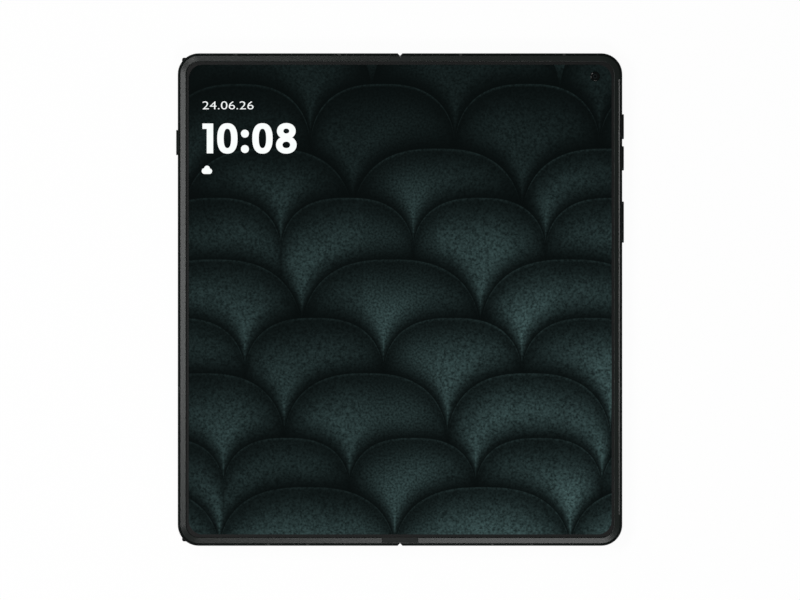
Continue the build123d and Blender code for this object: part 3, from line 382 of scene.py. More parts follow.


# ---- Inner display
# A flexible OLED panel under a plastic film, lit, with a picture of overlapping felt hills on it.
# Its two flat parts are glued to plates, and the strip between them lies over the spine, built flat here.
def draw_hills(tree, where):
    """The lit picture: rows of soft felt hills, each row in front of the one above.

    Gives its colour, and 1 inside the lit area and 0 outside it.
    """
    to_mm = add_node(tree, "VectorMath", {"operation": "SCALE"}, {"Scale": 1 / mm}, {0: where}).outputs[0]
    axes = add_node(tree, "SeparateXYZ", links={0: to_mm}).outputs
    x, y = axes[0], axes[1]
    folds = add_node(
        tree, "TexNoise", None, {"Scale": 1 / 26, "Detail": 1.0}, {"Vector": to_mm}
    ).outputs["Fac"]
    light = None
    # top of each row, width of its hills, shift along the row, height of the hills, brightness
    rows = (
        (92, 61, 0.15, 26, 0.18),
        (70, 47, 0.62, 21, 0.24),
        (49, 55, 0.28, 24, 0.64),
        (33, 43, 0.90, 18, 0.74),
        (13, 58, 0.55, 25, 0.86),
        (-6, 45, 0.12, 19, 0.82),
        (-24, 53, 0.71, 23, 0.98),
        (-45, 41, 0.40, 17, 1.00),
        (-61, 57, 0.03, 22, 1.10),
    )
    smooth = {"interpolation_type": "SMOOTHSTEP"}
    for top, width, shift, height, level in rows:
        # Each step is an operation on the result before it. They make an arch over every width.
        arch = x
        for operation, numbers in (
            ("MULTIPLY_ADD", {1: 1 / width, 2: shift + 4}),
            ("FRACT", {}),
            ("MULTIPLY_ADD", {1: 2.0, 2: -1.0}),
            ("ABSOLUTE", {}),
            ("POWER", {1: 2.6}),
            ("MULTIPLY_ADD", {1: -1.0, 2: 1.0}),
            ("POWER", {1: 0.45}),
            ("MULTIPLY_ADD", {1: height, 2: top - height}),
        ):
            arch = add_node(tree, "Math", {"operation": operation}, numbers, {0: arch}).outputs[0]
        depth = {"Value": add_node(tree, "Math", {"operation": "SUBTRACT"}, None, {0: arch, 1: y}).outputs[0]}
        glow_span = {"From Max": 20.0, "To Min": 0.12 * level, "To Max": 1.15 * level}
        glow = add_node(tree, "MapRange", smooth, glow_span, depth).outputs[0]
        ridge_span = {"From Min": 0.1, "From Max": 0.9, "To Min": 0.2, "To Max": 0.0}
        ridge = add_node(tree, "MapRange", None, ridge_span, depth).outputs[0]
        hill = add_node(tree, "Math", {"operation": "ADD"}, links={0: glow, 1: ridge}).outputs[0]
        if light is None:
            light = hill
            continue
        shade = add_node(tree, "MapRange", smooth, {"From Min": -11.0, "To Min": 1.0, "To Max": 0.0}, depth)
        behind = add_node(tree, "Math", {"operation": "MULTIPLY"}, links={0: light, 1: shade.outputs[0]})
        front = add_node(tree, "MapRange", None, {"From Min": -0.15, "From Max": 0.15}, depth)
        both = {0: front.outputs[0], 2: behind.outputs[0], 3: hill}
        light = add_node(tree, "Mix", {"data_type": "FLOAT"}, links=both).outputs[0]
    # Felt fibres, drawn 0.7 mm apart, over soft folds of the cloth, and a little more light on the right.
    fibres = add_node(
        tree, "TexNoise", None, {"Scale": 1 / 0.7, "Detail": 2.0}, {"Vector": to_mm}
    ).outputs["Fac"]
    for source, low, high, dim, bright in (
        (fibres, 0.3, 0.7, 0.35, 1.65),
        (folds, 0.3, 0.7, 0.75, 1.25),
        (x, -70.0, 70.0, 0.8, 1.3),
    ):
        span = {"From Min": low, "From Max": high, "To Min": dim, "To Max": bright}
        change = add_node(tree, "MapRange", None, span, {"Value": source}).outputs[0]
        light = add_node(tree, "Math", {"operation": "MULTIPLY"}, links={0: light, 1: change}).outputs[0]
    dark_and_lit = {6: colour("#010505"), 7: colour("#283838")}
    picture = add_node(tree, "Mix", {"data_type": "RGBA", "clamp_factor": False}, dark_and_lit, {0: light})
    # The lit area ends short of the rims, with rounded corners, and the panel is dark grey outside it.
    lit_middle, lit_half, lit_corner = (0.05, 0.0), (68.7, 76.3), 4.5
    corner = add_node(tree, "CombineXYZ")
    for i, (value, middle, half) in enumerate(zip((x, y), lit_middle, lit_half)):
        for operation, numbers in (
            ("SUBTRACT", {1: middle}),
            ("ABSOLUTE", {}),
            ("SUBTRACT", {1: half - lit_corner}),
            ("MAXIMUM", {1: 0.0}),
        ):
            value = add_node(tree, "Math", {"operation": operation}, numbers, {0: value}).outputs[0]
        tree.links.new(value, corner.inputs[i])
    reach = add_node(
        tree, "VectorMath", {"operation": "LENGTH"}, None, {0: corner.outputs[0]}
    ).outputs["Value"]
    edge_span = {"From Min": lit_corner - 0.06, "From Max": lit_corner + 0.06, "To Min": 1.0, "To Max": 0.0}
    inside = add_node(tree, "MapRange", None, edge_span, {"Value": reach})
    return picture.outputs[2], inside.outputs[0]


# The film over the panel is hard-coated plastic with a coat against reflections: smooth, with little
# glare. Where it is printed black behind, outside the lit area, its surface is satin.
def screen_material(name, coordinates):
    """The lit panel, read from one output of the texture coordinates."""
    made, tree, surface, where = start_material(name, {"IOR": 1.5, "Specular IOR Level": 0.18}, coordinates)
    picture, inside = draw_hills(tree, where)
    finish(tree, surface, inside, ("#080a0a", "#010202"), (0.5, 0.1))
    tree.links.new(picture, surface.inputs["Emission Color"])
    tree.links.new(inside, surface.inputs["Emission Strength"])
    return made
screen_flat = screen_material("oled_lit_flat", "Object")
screen_fold = screen_material("oled_lit_fold", "UV")

# The panel's cut edges are laminated film: dark and slightly glossy, with fine layers across.
edge_values = {"Specular IOR Level": 0.2, "Roughness": 0.4}
panel_edge, tree, surface, where = start_material("oled_laminate_edge", edge_values)
film_layer = 0.3 * mm
layer_scale = {"Scale": 1 / film_layer / 6.28, "Distortion": 0.4}
layers = add_node(tree, "TexWave", {"bands_direction": "Z"}, layer_scale, {"Vector": where}).outputs["Fac"]
finish(tree, surface, layers, ("#0a0b0c", "#17191b"))

dress(screen_flat, "main_display_left", "main_display_right")
display_low, display_top = 6.0, 6.65
for side, end_name in ((-1, "left"), (1, "right")):
    xs = [side * v for v in steps_between(0, 12, 60)]
    mesh = strip_mesh(xs, [(-78.4, 78.4, 0)], lambda x: (display_low, display_top))
    strip = add_piece(f"display_strip_{end_name}", None, "display_glass", mesh, screen_fold, panel_edge)
    bend_over_fold(strip, side)
    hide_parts("main_display_fold")


# ---- Clock on the display
# The lock screen's plain clock: a bold time, a small date in numbers and a small cloud under them.
# They are lit white by the panel, drawn here as thin faces just over its film.
white_values = {"Base Color": colour("#0c0e0e"), "Specular IOR Level": 0.1, "Emission Strength": 1.0}
lit_white, tree, surface, where = start_material("oled_lit_white", white_values)
pixel_patch = 1.5 * mm
pixels = add_node(tree, "TexNoise", None, {"Scale": 1 / pixel_patch, "Detail": 0.0}, {"Vector": where})
whites = {6: colour("#f4fbf9"), 7: colour("#ffffff")}
tint = add_node(tree, "Mix", {"data_type": "RGBA"}, whites, {0: pixels.outputs["Fac"]})
tree.links.new(tint.outputs[2], surface.inputs["Emission Color"])
glyph_z = 6.66


def number_mesh(words, swell, left, right, bottom, top):
    """Numbers as a flat mesh, fitted between these four edges in mm."""
    text = bpy.data.curves.new("numbers", "FONT")
    text.body = words
    text.offset = swell
    text.resolution_u = 8
    holder = bpy.data.objects.new("numbers", text)
    bpy.context.scene.collection.objects.link(holder)
    bpy.context.view_layer.update()
    mesh = bpy.data.meshes.new_from_object(
        holder.evaluated_get(bpy.context.evaluated_depsgraph_get())
    )
    bpy.data.objects.remove(holder)
    xs = [v.co.x for v in mesh.vertices]
    ys = [v.co.y for v in mesh.vertices]
    for v in mesh.vertices:
        u = (v.co.x - min(xs)) / (max(xs) - min(xs))
        w = (v.co.y - min(ys)) / (max(ys) - min(ys))
        v.co = ((left + (right - left) * u) * mm, (bottom + (top - bottom) * w) * mm, glyph_z * mm)
    return mesh


date = number_mesh("24.06.26", -0.008, -64.2, -47.6, 61.8, 64.4)
date.materials.clear()
add_piece("clock_date", "left_half", "display_glass", date, lit_white)

# The bold figures of the time are drawn as bars, dots and rings of one stroke's width.
stroke, time_low, time_high = 2.1, 47.5, 57.2
figures = bmesh.new()


def lit_face(points):
    """One flat face of lit pixels."""
    figures.faces.new([figures.verts.new((x * mm, y * mm, glyph_z * mm)) for x, y in points])


def oval(x, y, half_w, half_h, bulge, around=40):
    """Points round a middle; bulge 2 is an ellipse, and more is squarer."""
    points = []
    for i in range(around):
        c, w = math.cos(2 * math.pi * i / around), math.sin(2 * math.pi * i / around)
        points.append(
            (
                x + half_w * math.copysign(abs(c) ** (2 / bulge), c),
                y + half_h * math.copysign(abs(w) ** (2 / bulge), w),
            )
        )
    return points


def ring(x, y, half_w, half_h, bulge):
    """A closed loop of one stroke."""
    outer = oval(x, y, half_w, half_h, bulge)
    inner = oval(x, y, half_w - stroke, half_h - 0.86 * stroke, bulge)
    for i in range(len(outer)):
        lit_face((outer[i - 1], outer[i], inner[i], inner[i - 1]))


one_left, flag = -62.8, 0.84 * stroke
lit_face(
    (
        (one_left + stroke, time_low), (one_left + stroke, time_high), (-64.2, time_high),
        (-64.2, time_high - flag), (one_left, time_high - flag), (one_left, time_low),
    )  # fmt: skip
)
time_middle = (time_low + time_high) / 2
for middle_x in (-56.1, -44.7):
    ring(middle_x, time_middle, 3.3, 4.95, 2.4)
for dot_y in (48.9, 53.9):
    lit_face(oval(-50.4, dot_y, 1.3, 1.3, 2))
ring(-36.95, 54.75, 3.05, 2.6, 2.1)
ring(-36.95, 50.25, 3.35, 2.85, 2.1)
add_piece("clock_time", "left_half", "display_glass", as_mesh("figures", figures), lit_white)

cloud = bmesh.new()
outline = []
for x, y, radius, start, stop in (
    (-63.5, 41.75, 0.95, 270, 100),
    (-62.7, 42.55, 0.95, 165, 20),
    (-61.95, 41.7, 0.9, 80, -90),
):
    for i in range(13):
        angle = math.radians(start + (stop - start) * i / 12)
        place = (x + radius * math.cos(angle)) * mm, (y + radius * math.sin(angle)) * mm, glyph_z * mm
        outline.append(cloud.verts.new(place))
cloud.faces.new(list(reversed(outline)))
bmesh.ops.recalc_face_normals(cloud, faces=cloud.faces)
add_piece("clock_cloud", "left_half", "display_glass", as_mesh("cloud", cloud), lit_white)


# ---- Inner camera
# A small lens unit looks out through a round hole in the lit panel, near the top right corner.
# Its front is a moulded glass dome in a black barrel. Its dark pupil is painted shade, and its faint bluish
# coat a painted reflection.
def from_axis(tree, where, x, y):
    """Distance in mm from an upright axis at x, y."""
    flat = add_node(
        tree, "VectorMath", {"operation": "MULTIPLY"}, {1: (1 / mm, 1 / mm, 0)}, {0: where}
    ).outputs[0]
    return add_node(tree, "VectorMath", {"operation": "DISTANCE"}, {1: (x, y, 0)}, {0: flat}).outputs["Value"]


def barrel_material(name, middle, rings, rim_code, pupil_shade_code, coat_reflection_code):
    """A lens front seen along its axis: black rim, coated glass and dark pupil, the pupil painted shade and the
    coat's colour a painted reflection.

    rings are the radii in mm of the pupil and of the glass.
    """
    lens_values = {"IOR": 1.52, "Specular IOR Level": 0.1, "Roughness": 0.05}
    made, tree, surface, where = start_material(name, lens_values)
    offset = {"Value": from_axis(tree, where, *middle)}
    pupil_r, glass_r = rings
    outer = add_node(tree, "MapRange", None, {"From Min": glass_r - 0.04, "From Max": glass_r + 0.04}, offset)
    inner = add_node(tree, "MapRange", None, {"From Min": pupil_r - 0.1, "From Max": pupil_r + 0.25}, offset)
    # Painted shade in the pupil, and a painted reflection for the coat ring round it.
    glass_pair = {6: colour(pupil_shade_code), 7: colour(coat_reflection_code)}
    glass = add_node(tree, "Mix", {"data_type": "RGBA"}, glass_pair, {0: inner.outputs[0]})
    layers = {0: outer.outputs[0], 6: glass.outputs[2]}
    tint = add_node(tree, "Mix", {"data_type": "RGBA"}, {7: colour(rim_code)}, layers)
    tree.links.new(tint.outputs[2], surface.inputs["Base Color"])
    return made


def circle(x, y, radius, around):
    """Points of a circle."""
    turns = [2 * math.pi * i / around for i in range(around)]
    return [(x + radius * math.cos(turn), y + radius * math.sin(turn)) for turn in turns]


def dome_mesh(x, y, z, radius, rise, rings=6, around=40):
    """A shallow closed lens: flat behind at z, domed to z + rise in front."""
    made = bmesh.new()
    back = [made.verts.new((px * mm, py * mm, z * mm)) for px, py in circle(x, y, radius, around)]
    made.faces.new(back)
    row = back
    for k in range(1, rings):
        share = 1 - k / rings
        level = (z + rise * (0.25 + 0.75 * (1 - share * share))) * mm
        ring = [
            made.verts.new((x * mm + (v.co.x - x * mm) * share, y * mm + (v.co.y - y * mm) * share, level))
            for v in back
        ]
        for i in range(around):
            j = (i + 1) % around
            made.faces.new((row[i], row[j], ring[j], ring[i]))
        row = ring
    top = made.verts.new((x * mm, y * mm, (z + rise) * mm))
    for i in range(around):
        made.faces.new((row[i], row[(i + 1) % around], top))
    bmesh.ops.recalc_face_normals(made, faces=made.faces)
    return as_mesh("dome", made)
inner_camera_x, inner_camera_y = 63.4, 72.5
inner_glass = barrel_material(
    "optical_glass_small_coated",
    (inner_camera_x, inner_camera_y),
    (0.3, 0.7),
    *("#0b0d0d", "#010202", "#181d1e"),
)
dress(inner_glass, "inner_camera")
lens = dome_mesh(inner_camera_x, inner_camera_y, 6.451, 1.42, 0.16)
add_piece("inner_camera_dome", "right_half", "lens_glass", lens, inner_glass)


# ---- Display plates and wing plates
# The panel is backed by thin stainless plates on the halves and by two tilting wings near the fold.
# They are blanked from rolled strip, so a fine rolling grain runs along the phone.
# Stainless steel, rolled: grey metal, half bright, with streaks 0.3 mm wide.
def steel_material(name, colours, rough, streak, run):
    """Bare metal with machining or rolling streaks: width and length of a streak in mm, along Y."""
    made, tree, surface, where = start_material(name, {"Metallic": 1.0})
    across, along = 1 / (streak * mm), 1 / (run * mm)
    stretch = add_node(
        tree, "Mapping", None, {"Scale": (across, along, across)}, {"Vector": where}
    ).outputs[0]
    streaks = add_node(
        tree, "TexNoise", None, {"Scale": 1.0, "Detail": 3.0}, {"Vector": stretch}
    ).outputs["Fac"]
    finish(tree, surface, streaks, colours, rough, (0.15, 0.01), (0.06, 6))
    return made
rolled_steel = steel_material("stainless_rolled", ("#6d7072", "#9a9da0"), (0.28, 0.42), 0.3, 12)
dress(rolled_steel, "display_plate_left", "display_plate_right", "left_wing_plate", "right_wing_plate")


# ---- Fold mechanism
# Bases, crescent arms, sync bars and gears are sintered from stainless steel powder and tumbled.
# Pins and cam sleeves are turned and ground, and a trace of grease keeps them dark and glossy.
# Sintered steel: a little darker and softer than rolled sheet, with pores about 0.1 mm across.
sintered, tree, surface, where = start_material("stainless_sintered_tumbled", {"Metallic": 1.0})
pore_size = 0.15 * mm
pores = add_node(
    tree, "TexNoise", None, {"Scale": 1 / pore_size, "Detail": 3.0}, {"Vector": where}
).outputs["Fac"]
finish(tree, surface, pores, ("#5a5c5d", "#8b8d8c"), (0.32, 0.5), (0.3, 0.01), (0.08, 6))
dress(sintered, "hinge_bases", "arm_brackets_left", "arm_brackets_right")

# The toothed parts see the most grease: the same steel, darker and shinier.
greased = steel_material("stainless_greased", ("#3c3d3c", "#6a6a66"), (0.14, 0.26), 0.2, 3)
dress(greased, "left_sync_arms", "right_sync_arms", "left_idler_gears", "right_idler_gears")
dress(greased, "hinge_shafts", "cam_sleeves")

# Torque springs: packs of spring wire, straw-coloured by heat, with a turn every 0.5 mm along Y.
wire_values = {"Metallic": 1.0, "Roughness": 0.3}
spring_wire, tree, surface, where = start_material("spring_wire_tempered", wire_values)
turn_pitch = 0.5 * mm
turn_scale = {"Scale": math.pi / (10 * turn_pitch)}
turns = add_node(tree, "TexWave", {"bands_direction": "Y"}, turn_scale, {"Vector": where}).outputs["Fac"]
# The near-black end of these bands is painted shade in the grooves between the turns. The straw end is the
# wire's own colour.
finish(tree, surface, turns, ("#16130f", "#9a8460"), relief=(0.9, 0.15))
dress(spring_wire, "torque_springs")


# ---- Flex circuits over the fold
# Two polyimide circuits carry the signals between the boards, under the display and over the spine.
# Copper lines show through the amber film, and the middle crosses the fold, built flat here.
film_values = {"IOR": 1.7, "Specular IOR Level": 0.35, "Roughness": 0.3}
flex_film, tree, surface, where = start_material("polyimide_copper_lines", film_values, "UV")
line_pitch = 0.8 * mm
line_scale = {"Scale": math.pi / (10 * line_pitch)}
tracks = add_node(tree, "TexWave", {"bands_direction": "Y"}, line_scale, {"Vector": where}).outputs["Fac"]
sharp = add_node(tree, "MapRange", None, {"From Min": 0.45, "From Max": 0.55}, {"Value": tracks}).outputs[0]
finish(tree, surface, sharp, ("#5a3410", "#a8682c"))
flex_low, flex_high, flex_thick = 5.0, 5.6, 0.1
slope_out, slope_in, inset = 8.8, 5.2, 0.002


def flex_heights(x):
    """Low beside the fold, high over the spine, sloping between."""
    share = min(1, max(0, (slope_out - abs(x)) / (slope_out - slope_in)))
    low = flex_low + (flex_high - flex_low) * share
    return low + inset, low + flex_thick - inset


for side, end_name in ((-1, "left"), (1, "right")):
    xs = [side * v for v in steps_between(0, 19.5, 65)]
    mesh = strip_mesh(xs, [(-26, -14, 0), (14, 26, 0)], flex_heights)
    flex = add_piece(f"flex_circuit_{end_name}", None, "flex_film", mesh, flex_film, flex_film)
    bend_over_fold(flex, side)
    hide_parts("hinge_flex")


# ---- Outer display
# The left half's back is a sheet of chemically strengthened glass over a second, flat OLED panel.
# The panel is off, so behind the clear glass it is a deep blue-black with a faint pixel grid.
off_values = {"Specular IOR Level": 0.05, "Roughness": 0.15}
panel_off, tree, surface, where = start_material("oled_unlit", off_values)
grid_pitch = 0.6 * mm
grid_values = {
    "Color1": colour("#0a0b10"),
    "Color2": colour("#0c0d13"),
    "Mortar": colour("#050507"),
    "Scale": 1.0,
    "Mortar Size": 0.12 * grid_pitch,
    "Brick Width": grid_pitch,
    "Row Height": grid_pitch,
}
grid = add_node(tree, "TexBrick", {"offset": 0.0}, grid_values, {"Vector": where})
tree.links.new(grid.outputs["Color"], surface.inputs["Base Color"])
dress(panel_off, "outer_display_panel")
# The glue between panel and glass is 0.01 mm thick.
glue_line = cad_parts["outer_display_panel"].modifiers.new("glue_line", "DISPLACE")
glue_line.mid_level = 0.0
glue_line.strength = -0.01 * mm

# Strengthened glass, float polished: clear, mirror smooth, with the faintest smears on it. It is
# glued to the panel, so only its front reflects: the index here gives both faces that much together.
clear_values = {"Base Color": colour("#f2f6f6"), "Transmission Weight": 1.0, "IOR": 1.32}
clear_glass, tree, surface, where = start_material("aluminosilicate_glass_polished", clear_values)
smear_size = 18 * mm
smears = add_node(tree, "TexNoise", None, {"Scale": 1 / smear_size, "Detail": 4.0}, {"Vector": where})
wipe_span = {"From Min": 0.45, "From Max": 0.8, "To Min": 0.01, "To Max": 0.07}
wiped = add_node(tree, "MapRange", None, wipe_span, {"Value": smears.outputs["Fac"]})
tree.links.new(wiped.outputs[0], surface.inputs["Roughness"])
dress(clear_glass, "outer_glass")

# A border of black ink, screen-printed on the inside of the glass, hides the panel's edges.
ink_values = {"Roughness": 0.45, "Specular IOR Level": 0.1}
black_print, tree, surface, where = start_material("enamel_ink_black", ink_values)
ink_grain = 0.4 * mm
ink = add_node(
    tree, "TexNoise", None, {"Scale": 1 / ink_grain, "Detail": 2.0}, {"Vector": where}
).outputs["Fac"]
finish(tree, surface, ink, ("#060707", "#0c0d0e"))
def flat_ring(outer, inner, low, high):
    """A flat closed ring between two loops of as many (x, y) points, in mm."""
    made = bmesh.new()
    loops = [
        [made.verts.new((x * mm, y * mm, z * mm)) for x, y in points]
        for points, z in ((inner, low), (outer, low), (outer, high), (inner, high))
    ]
    for k in range(4):
        first, second = loops[k], loops[(k + 1) % 4]
        for i in range(len(first)):
            made.faces.new((first[i - 1], first[i], second[i], second[i - 1]))
    bmesh.ops.recalc_face_normals(made, faces=made.faces)
    return as_mesh("ring", made)


def rounded(x0, x1, y0, y1, radius, steps=8):
    """Points of a rounded rectangle."""
    points = []
    x0, x1, y0, y1 = x0 + radius, x1 - radius, y0 + radius, y1 - radius
    for quarter, (x, y) in enumerate(((x1, y1), (x0, y1), (x0, y0), (x1, y0))):
        for i in range(steps + 1):
            angle = math.pi / 2 * (quarter + i / steps)
            points.append((x + radius * math.cos(angle), y + radius * math.sin(angle)))
    return points


border = flat_ring(
    rounded(-70.98, -3.12, -78.78, 78.78, 0.6), rounded(-67.9, -8.0, -75.7, 75.7, 4.5), 2.985, 2.992
)
add_piece("outer_glass_border", "left_half", "inner_plastic", border, black_print)


# ---- Outer camera
# A small camera for calls looks out through the outer glass near the top, in a hole of the panel.
# Like the inner one it shows a black barrel and a coated lens, with painted shade in the pupil and a painted
# reflection for the coat.
outer_camera_x, outer_camera_y = -36.4, 74.0
outer_lens = barrel_material(
    "optical_glass_outer_coated",
    (outer_camera_x, outer_camera_y),
    (0.5, 1.0),
    *("#0c0d0e", "#020203", "#1a1e2c"),
)
dress(outer_lens, "outer_camera")


# ---- Back cover
# The right half's back is glass, etched to a frost outside and printed dark green on its inside.
# The frost spreads every highlight, and grains of the etch glint very slightly.
frost_values = {"IOR": 1.5, "Specular IOR Level": 0.4}
frosted, tree, surface, where = start_material("glass_acid_etched_green", frost_values)
etch_size, cloud_size = 0.2 * mm, 35 * mm
etch = add_node(
    tree, "TexNoise", None, {"Scale": 1 / etch_size, "Detail": 3.0}, {"Vector": where}
).outputs["Fac"]
cloudy = add_node(
    tree, "TexNoise", None, {"Scale": 1 / cloud_size, "Detail": 1.0}, {"Vector": where}
).outputs["Fac"]
both = add_node(tree, "Math", {"operation": "MULTIPLY_ADD"}, {1: 0.35}, {0: etch, 2: cloudy}).outputs[0]
finish(tree, surface, etch, ("#1a2221", "#2b3635"), (0.36, 0.5), (0.2, 0.01), tone=both)
dress(frosted, "back_cover")


# ---- Cameras on the back
# Three cameras stand in the plate, each behind a flat sapphire cover in a turned steel ring.
# The ring is blackened and its face shows fine turning marks round the lens.
lenses = ((27.99, 56.4, 5.39), (41.98, 56.4, 5.0), (55.19, 56.4, 4.6))
turned_values = {"Metallic": 1.0, "Roughness": 0.24}
turned, tree, surface, where = start_material("stainless_turned_blackened", turned_values)
mark_pitch = 0.3
nearest = from_axis(tree, where, *lenses[0][:2])
for x, y, _ in lenses[1:]:
    both = {0: nearest, 1: from_axis(tree, where, x, y)}
    nearest = add_node(tree, "Math", {"operation": "MINIMUM"}, links=both).outputs[0]
phase = add_node(
    tree, "Math", {"operation": "MULTIPLY"}, {1: 2 * math.pi / mark_pitch}, {0: nearest}
).outputs[0]
circles = add_node(tree, "Math", {"operation": "SINE"}, links={0: phase}).outputs[0]
finish(tree, surface, circles, ("#26292a", "#3b4041"), relief=(0.2, 0.01), edge=(0.1, 6))
dress(turned, "camera_lens_rings")

# Sapphire covers, polished and coated on both faces: clear, slightly violet, and with the weak
# reflection of a much lower index than sapphire's own 1.77.
sapphire_values = {"Roughness": 0.02, "Transmission Weight": 1.0, "IOR": 1.22}
sapphire, tree, surface, where = start_material("sapphire_polished_coated", sapphire_values)
coat_patch = 9 * mm
coat = add_node(
    tree, "TexNoise", None, {"Scale": 1 / coat_patch, "Detail": 1.0}, {"Vector": where}
).outputs["Fac"]
finish(tree, surface, coat, ("#dfe0f4", "#eef2fb"))
dress(sapphire, "camera_lens_covers")

# Under each cover a mask in the same black ink leaves a round window, and a coated lens looks
# through it.

for number, (x, y, radius) in enumerate(lenses, 1):
    mask = flat_ring(circle(x, y, radius - 0.12, 48), circle(x, y, 0.5 * radius, 48), 1.11, 1.16)
    add_piece(f"lens_mask_{number}", "right_half", "inner_plastic", mask, black_print)

# The modules are moulded in black polycarbonate; their fronts carry coated glass.
moulded_values = {"IOR": 1.58, "Specular IOR Level": 0.3, "Roughness": 0.5}
moulded, tree, surface, where = start_material("polycarbonate_black_moulded", moulded_values)
mould_size = 0.3 * mm
pits = add_node(
    tree, "TexNoise", None, {"Scale": 1 / mould_size, "Detail": 3.0}, {"Vector": where}
).outputs["Fac"]
finish(tree, surface, pits, ("#0d0e0e", "#1d1f1f"), relief=(0.3, 0.01))
dress(moulded, "camera_modules", "focus_lens_group", "key_switches_right", "key_switch_left")
dress(moulded, "bottom_speaker", "top_speaker")

# Each lens's coat colour is a painted reflection of its coating, and its dark pupil is painted shade.
coat_reflections = ("#16223a", "#2a1638", "#123028")
for number, ((x, y, radius), coat_reflection_code) in enumerate(zip(lenses, coat_reflections), 1):
    window = 0.5 * radius
    rings = (0.45 * window, 0.97 * window)
    glass = barrel_material(f"optical_glass_rear_{number}", (x, y), rings, "#0a0b0c", "#010202", coat_reflection_code)
    if number == 1:
        front = dome_mesh(x, y, 1.548, 1.9, -0.12)
        add_piece("rear_lens_1", "focus_group", "lens_glass", front, glass)
    else:
        front = dome_mesh(x, y, 1.199, 1.02 * window, -0.03)
        add_piece(f"rear_lens_{number}", "right_half", "lens_glass", front, glass)


# ---- Flash
# The lamp's front is a clear acrylic lens set flush in the plate, with fine rings cut behind it.
# Through it the lamp's yellow phosphor shows in the middle.
flash_x, flash_y = 64.0, 60.4
acrylic_values = {"IOR": 1.49, "Roughness": 0.12, "Coat Weight": 0.6}
acrylic, tree, surface, where = start_material("acrylic_ringed_phosphor", acrylic_values)
ring_pitch = 0.35
offset = from_axis(tree, where, flash_x, flash_y)
glow_span = {"From Min": 0.5, "From Max": 1.1, "To Min": 1.0, "To Max": 0.0}
phosphor = add_node(tree, "MapRange", None, glow_span, {"Value": offset}).outputs[0]
saw = add_node(tree, "Math", {"operation": "PINGPONG"}, {1: ring_pitch}, {0: offset}).outputs[0]
finish(tree, surface, saw, ("#c9cbc4", "#dcc25e"), relief=(0.6, 0.1), tone=phosphor)
dress(acrylic, "flash_lens")


# ---- Batteries
# Two pouch cells in aluminium laminate foil, glued into the halves. They carry no print.
# The foil is soft, so it wrinkles a little and shines unevenly.
foil_values = {"Metallic": 1.0, "Roughness": 0.4}
foil, tree, surface, where = start_material("aluminium_laminate_foil", foil_values)
crease_values = {"Scale": 1 / (5 * mm), "Detail": 4.0, "Distortion": 0.8}
creases = add_node(tree, "TexNoise", None, crease_values, {"Vector": where}).outputs["Fac"]
finish(tree, surface, creases, ("#3b3e40", "#5b5f61"), relief=(0.5, 0.1))
dress(foil, "battery_left", "battery_right")


# ---- Charging coil
# A flat coil of enamelled copper wire under the back cover, wound in a close spiral.
# The wire is 0.4 mm across, drawn at 0.8 mm, and its enamel keeps the copper warm and glossy.
coil_x, coil_y = 43.7, -26.0
copper, tree, surface, where = start_material("copper_enamelled_wound", {"Roughness": 0.3})
wire = 0.8
offset = from_axis(tree, where, coil_x, coil_y)
phase = add_node(tree, "Math", {"operation": "MULTIPLY"}, {1: 2 * math.pi / wire}, {0: offset}).outputs[0]
winding = add_node(tree, "Math", {"operation": "SINE"}, links={0: phase}).outputs[0]
wound = add_node(tree, "MapRange", None, {"From Min": 9.4, "From Max": 9.6}, {"Value": offset}).outputs[0]
# The darker copper between the turns is painted shade in the grooves between the wires.
wires = finish(tree, surface, winding, ("#5c2c14", "#b8683a"), relief=(0.5, 0.1))
layers = {0: wound, 7: wires}
middle = add_node(tree, "Mix", {"data_type": "RGBA"}, {6: colour("#1a1a1b")}, layers)
tree.links.new(middle.outputs[2], surface.inputs["Base Color"])
tree.links.new(wound, surface.inputs["Metallic"])
dress(copper, "wireless_charging_coil")


# ---- Boards
# Glass-fibre laminate with a dark green solder mask over its copper tracks.
# The mask is thin, so the tracks show as slightly raised, lighter paths.
laminate_values = {"IOR": 1.55, "Roughness": 0.35}
laminate, tree, surface, where = start_material("glass_epoxy_solder_mask", laminate_values)
cells = {"feature": "DISTANCE_TO_EDGE", "distance": "EUCLIDEAN"}
paths = add_node(tree, "TexVoronoi", cells, {"Scale": 1 / (2.4 * mm)}, {"Vector": where}).outputs["Distance"]
track_span = {"From Min": 0.04, "From Max": 0.08, "To Min": 1.0, "To Max": 0.0}
track = add_node(tree, "MapRange", None, track_span, {"Value": paths}).outputs[0]
finish(tree, surface, track, ("#0d2a1c", "#1f4a30"), relief=(0.4, 0.03))
dress(laminate, "main_board", "sub_board", "left_board")


# ---- Shields, motor and SIM socket
# Cans of tinned nickel silver, deep drawn and soldered over the chips; the motor's can is alike.
# The tin is bright but not a mirror, and its sheet shows faint waves from the press.
tinned_values = {"Metallic": 1.0, "Roughness": 0.32}
tinned, tree, surface, where = start_material("nickel_silver_tinned_drawn", tinned_values)
wave_size = 3 * mm
waves = add_node(
    tree, "TexNoise", None, {"Scale": 1 / wave_size, "Detail": 2.0}, {"Vector": where}
).outputs["Fac"]
finish(tree, surface, waves, ("#8d8f8c", "#b4b6b2"), relief=(0.3, 0.05))
dress(tinned, "board_shields", "vibration_motor", "sim_socket")

# The motor's moving weight is pressed tungsten powder: dense, dark grey and dull.
tungsten = steel_material("tungsten_pressed", ("#3d3f42", "#56595c"), (0.45, 0.6), 0.15, 0.15)
dress(tungsten, "vibration_weight")


# ---- Charging inlet
# A drawn steel shell in the bottom edge with a black tongue down its middle.
# Rows of gold-plated contacts lie in both faces of the tongue.
drawn = steel_material("stainless_drawn_shell", ("#8a8c8e", "#b2b4b5"), (0.2, 0.32), 0.3, 4)
dress(drawn, "usb_c_port")
port_x, port_z, tongue_front, tongue_back = 36.4, 4.5, -78.5, -73.32


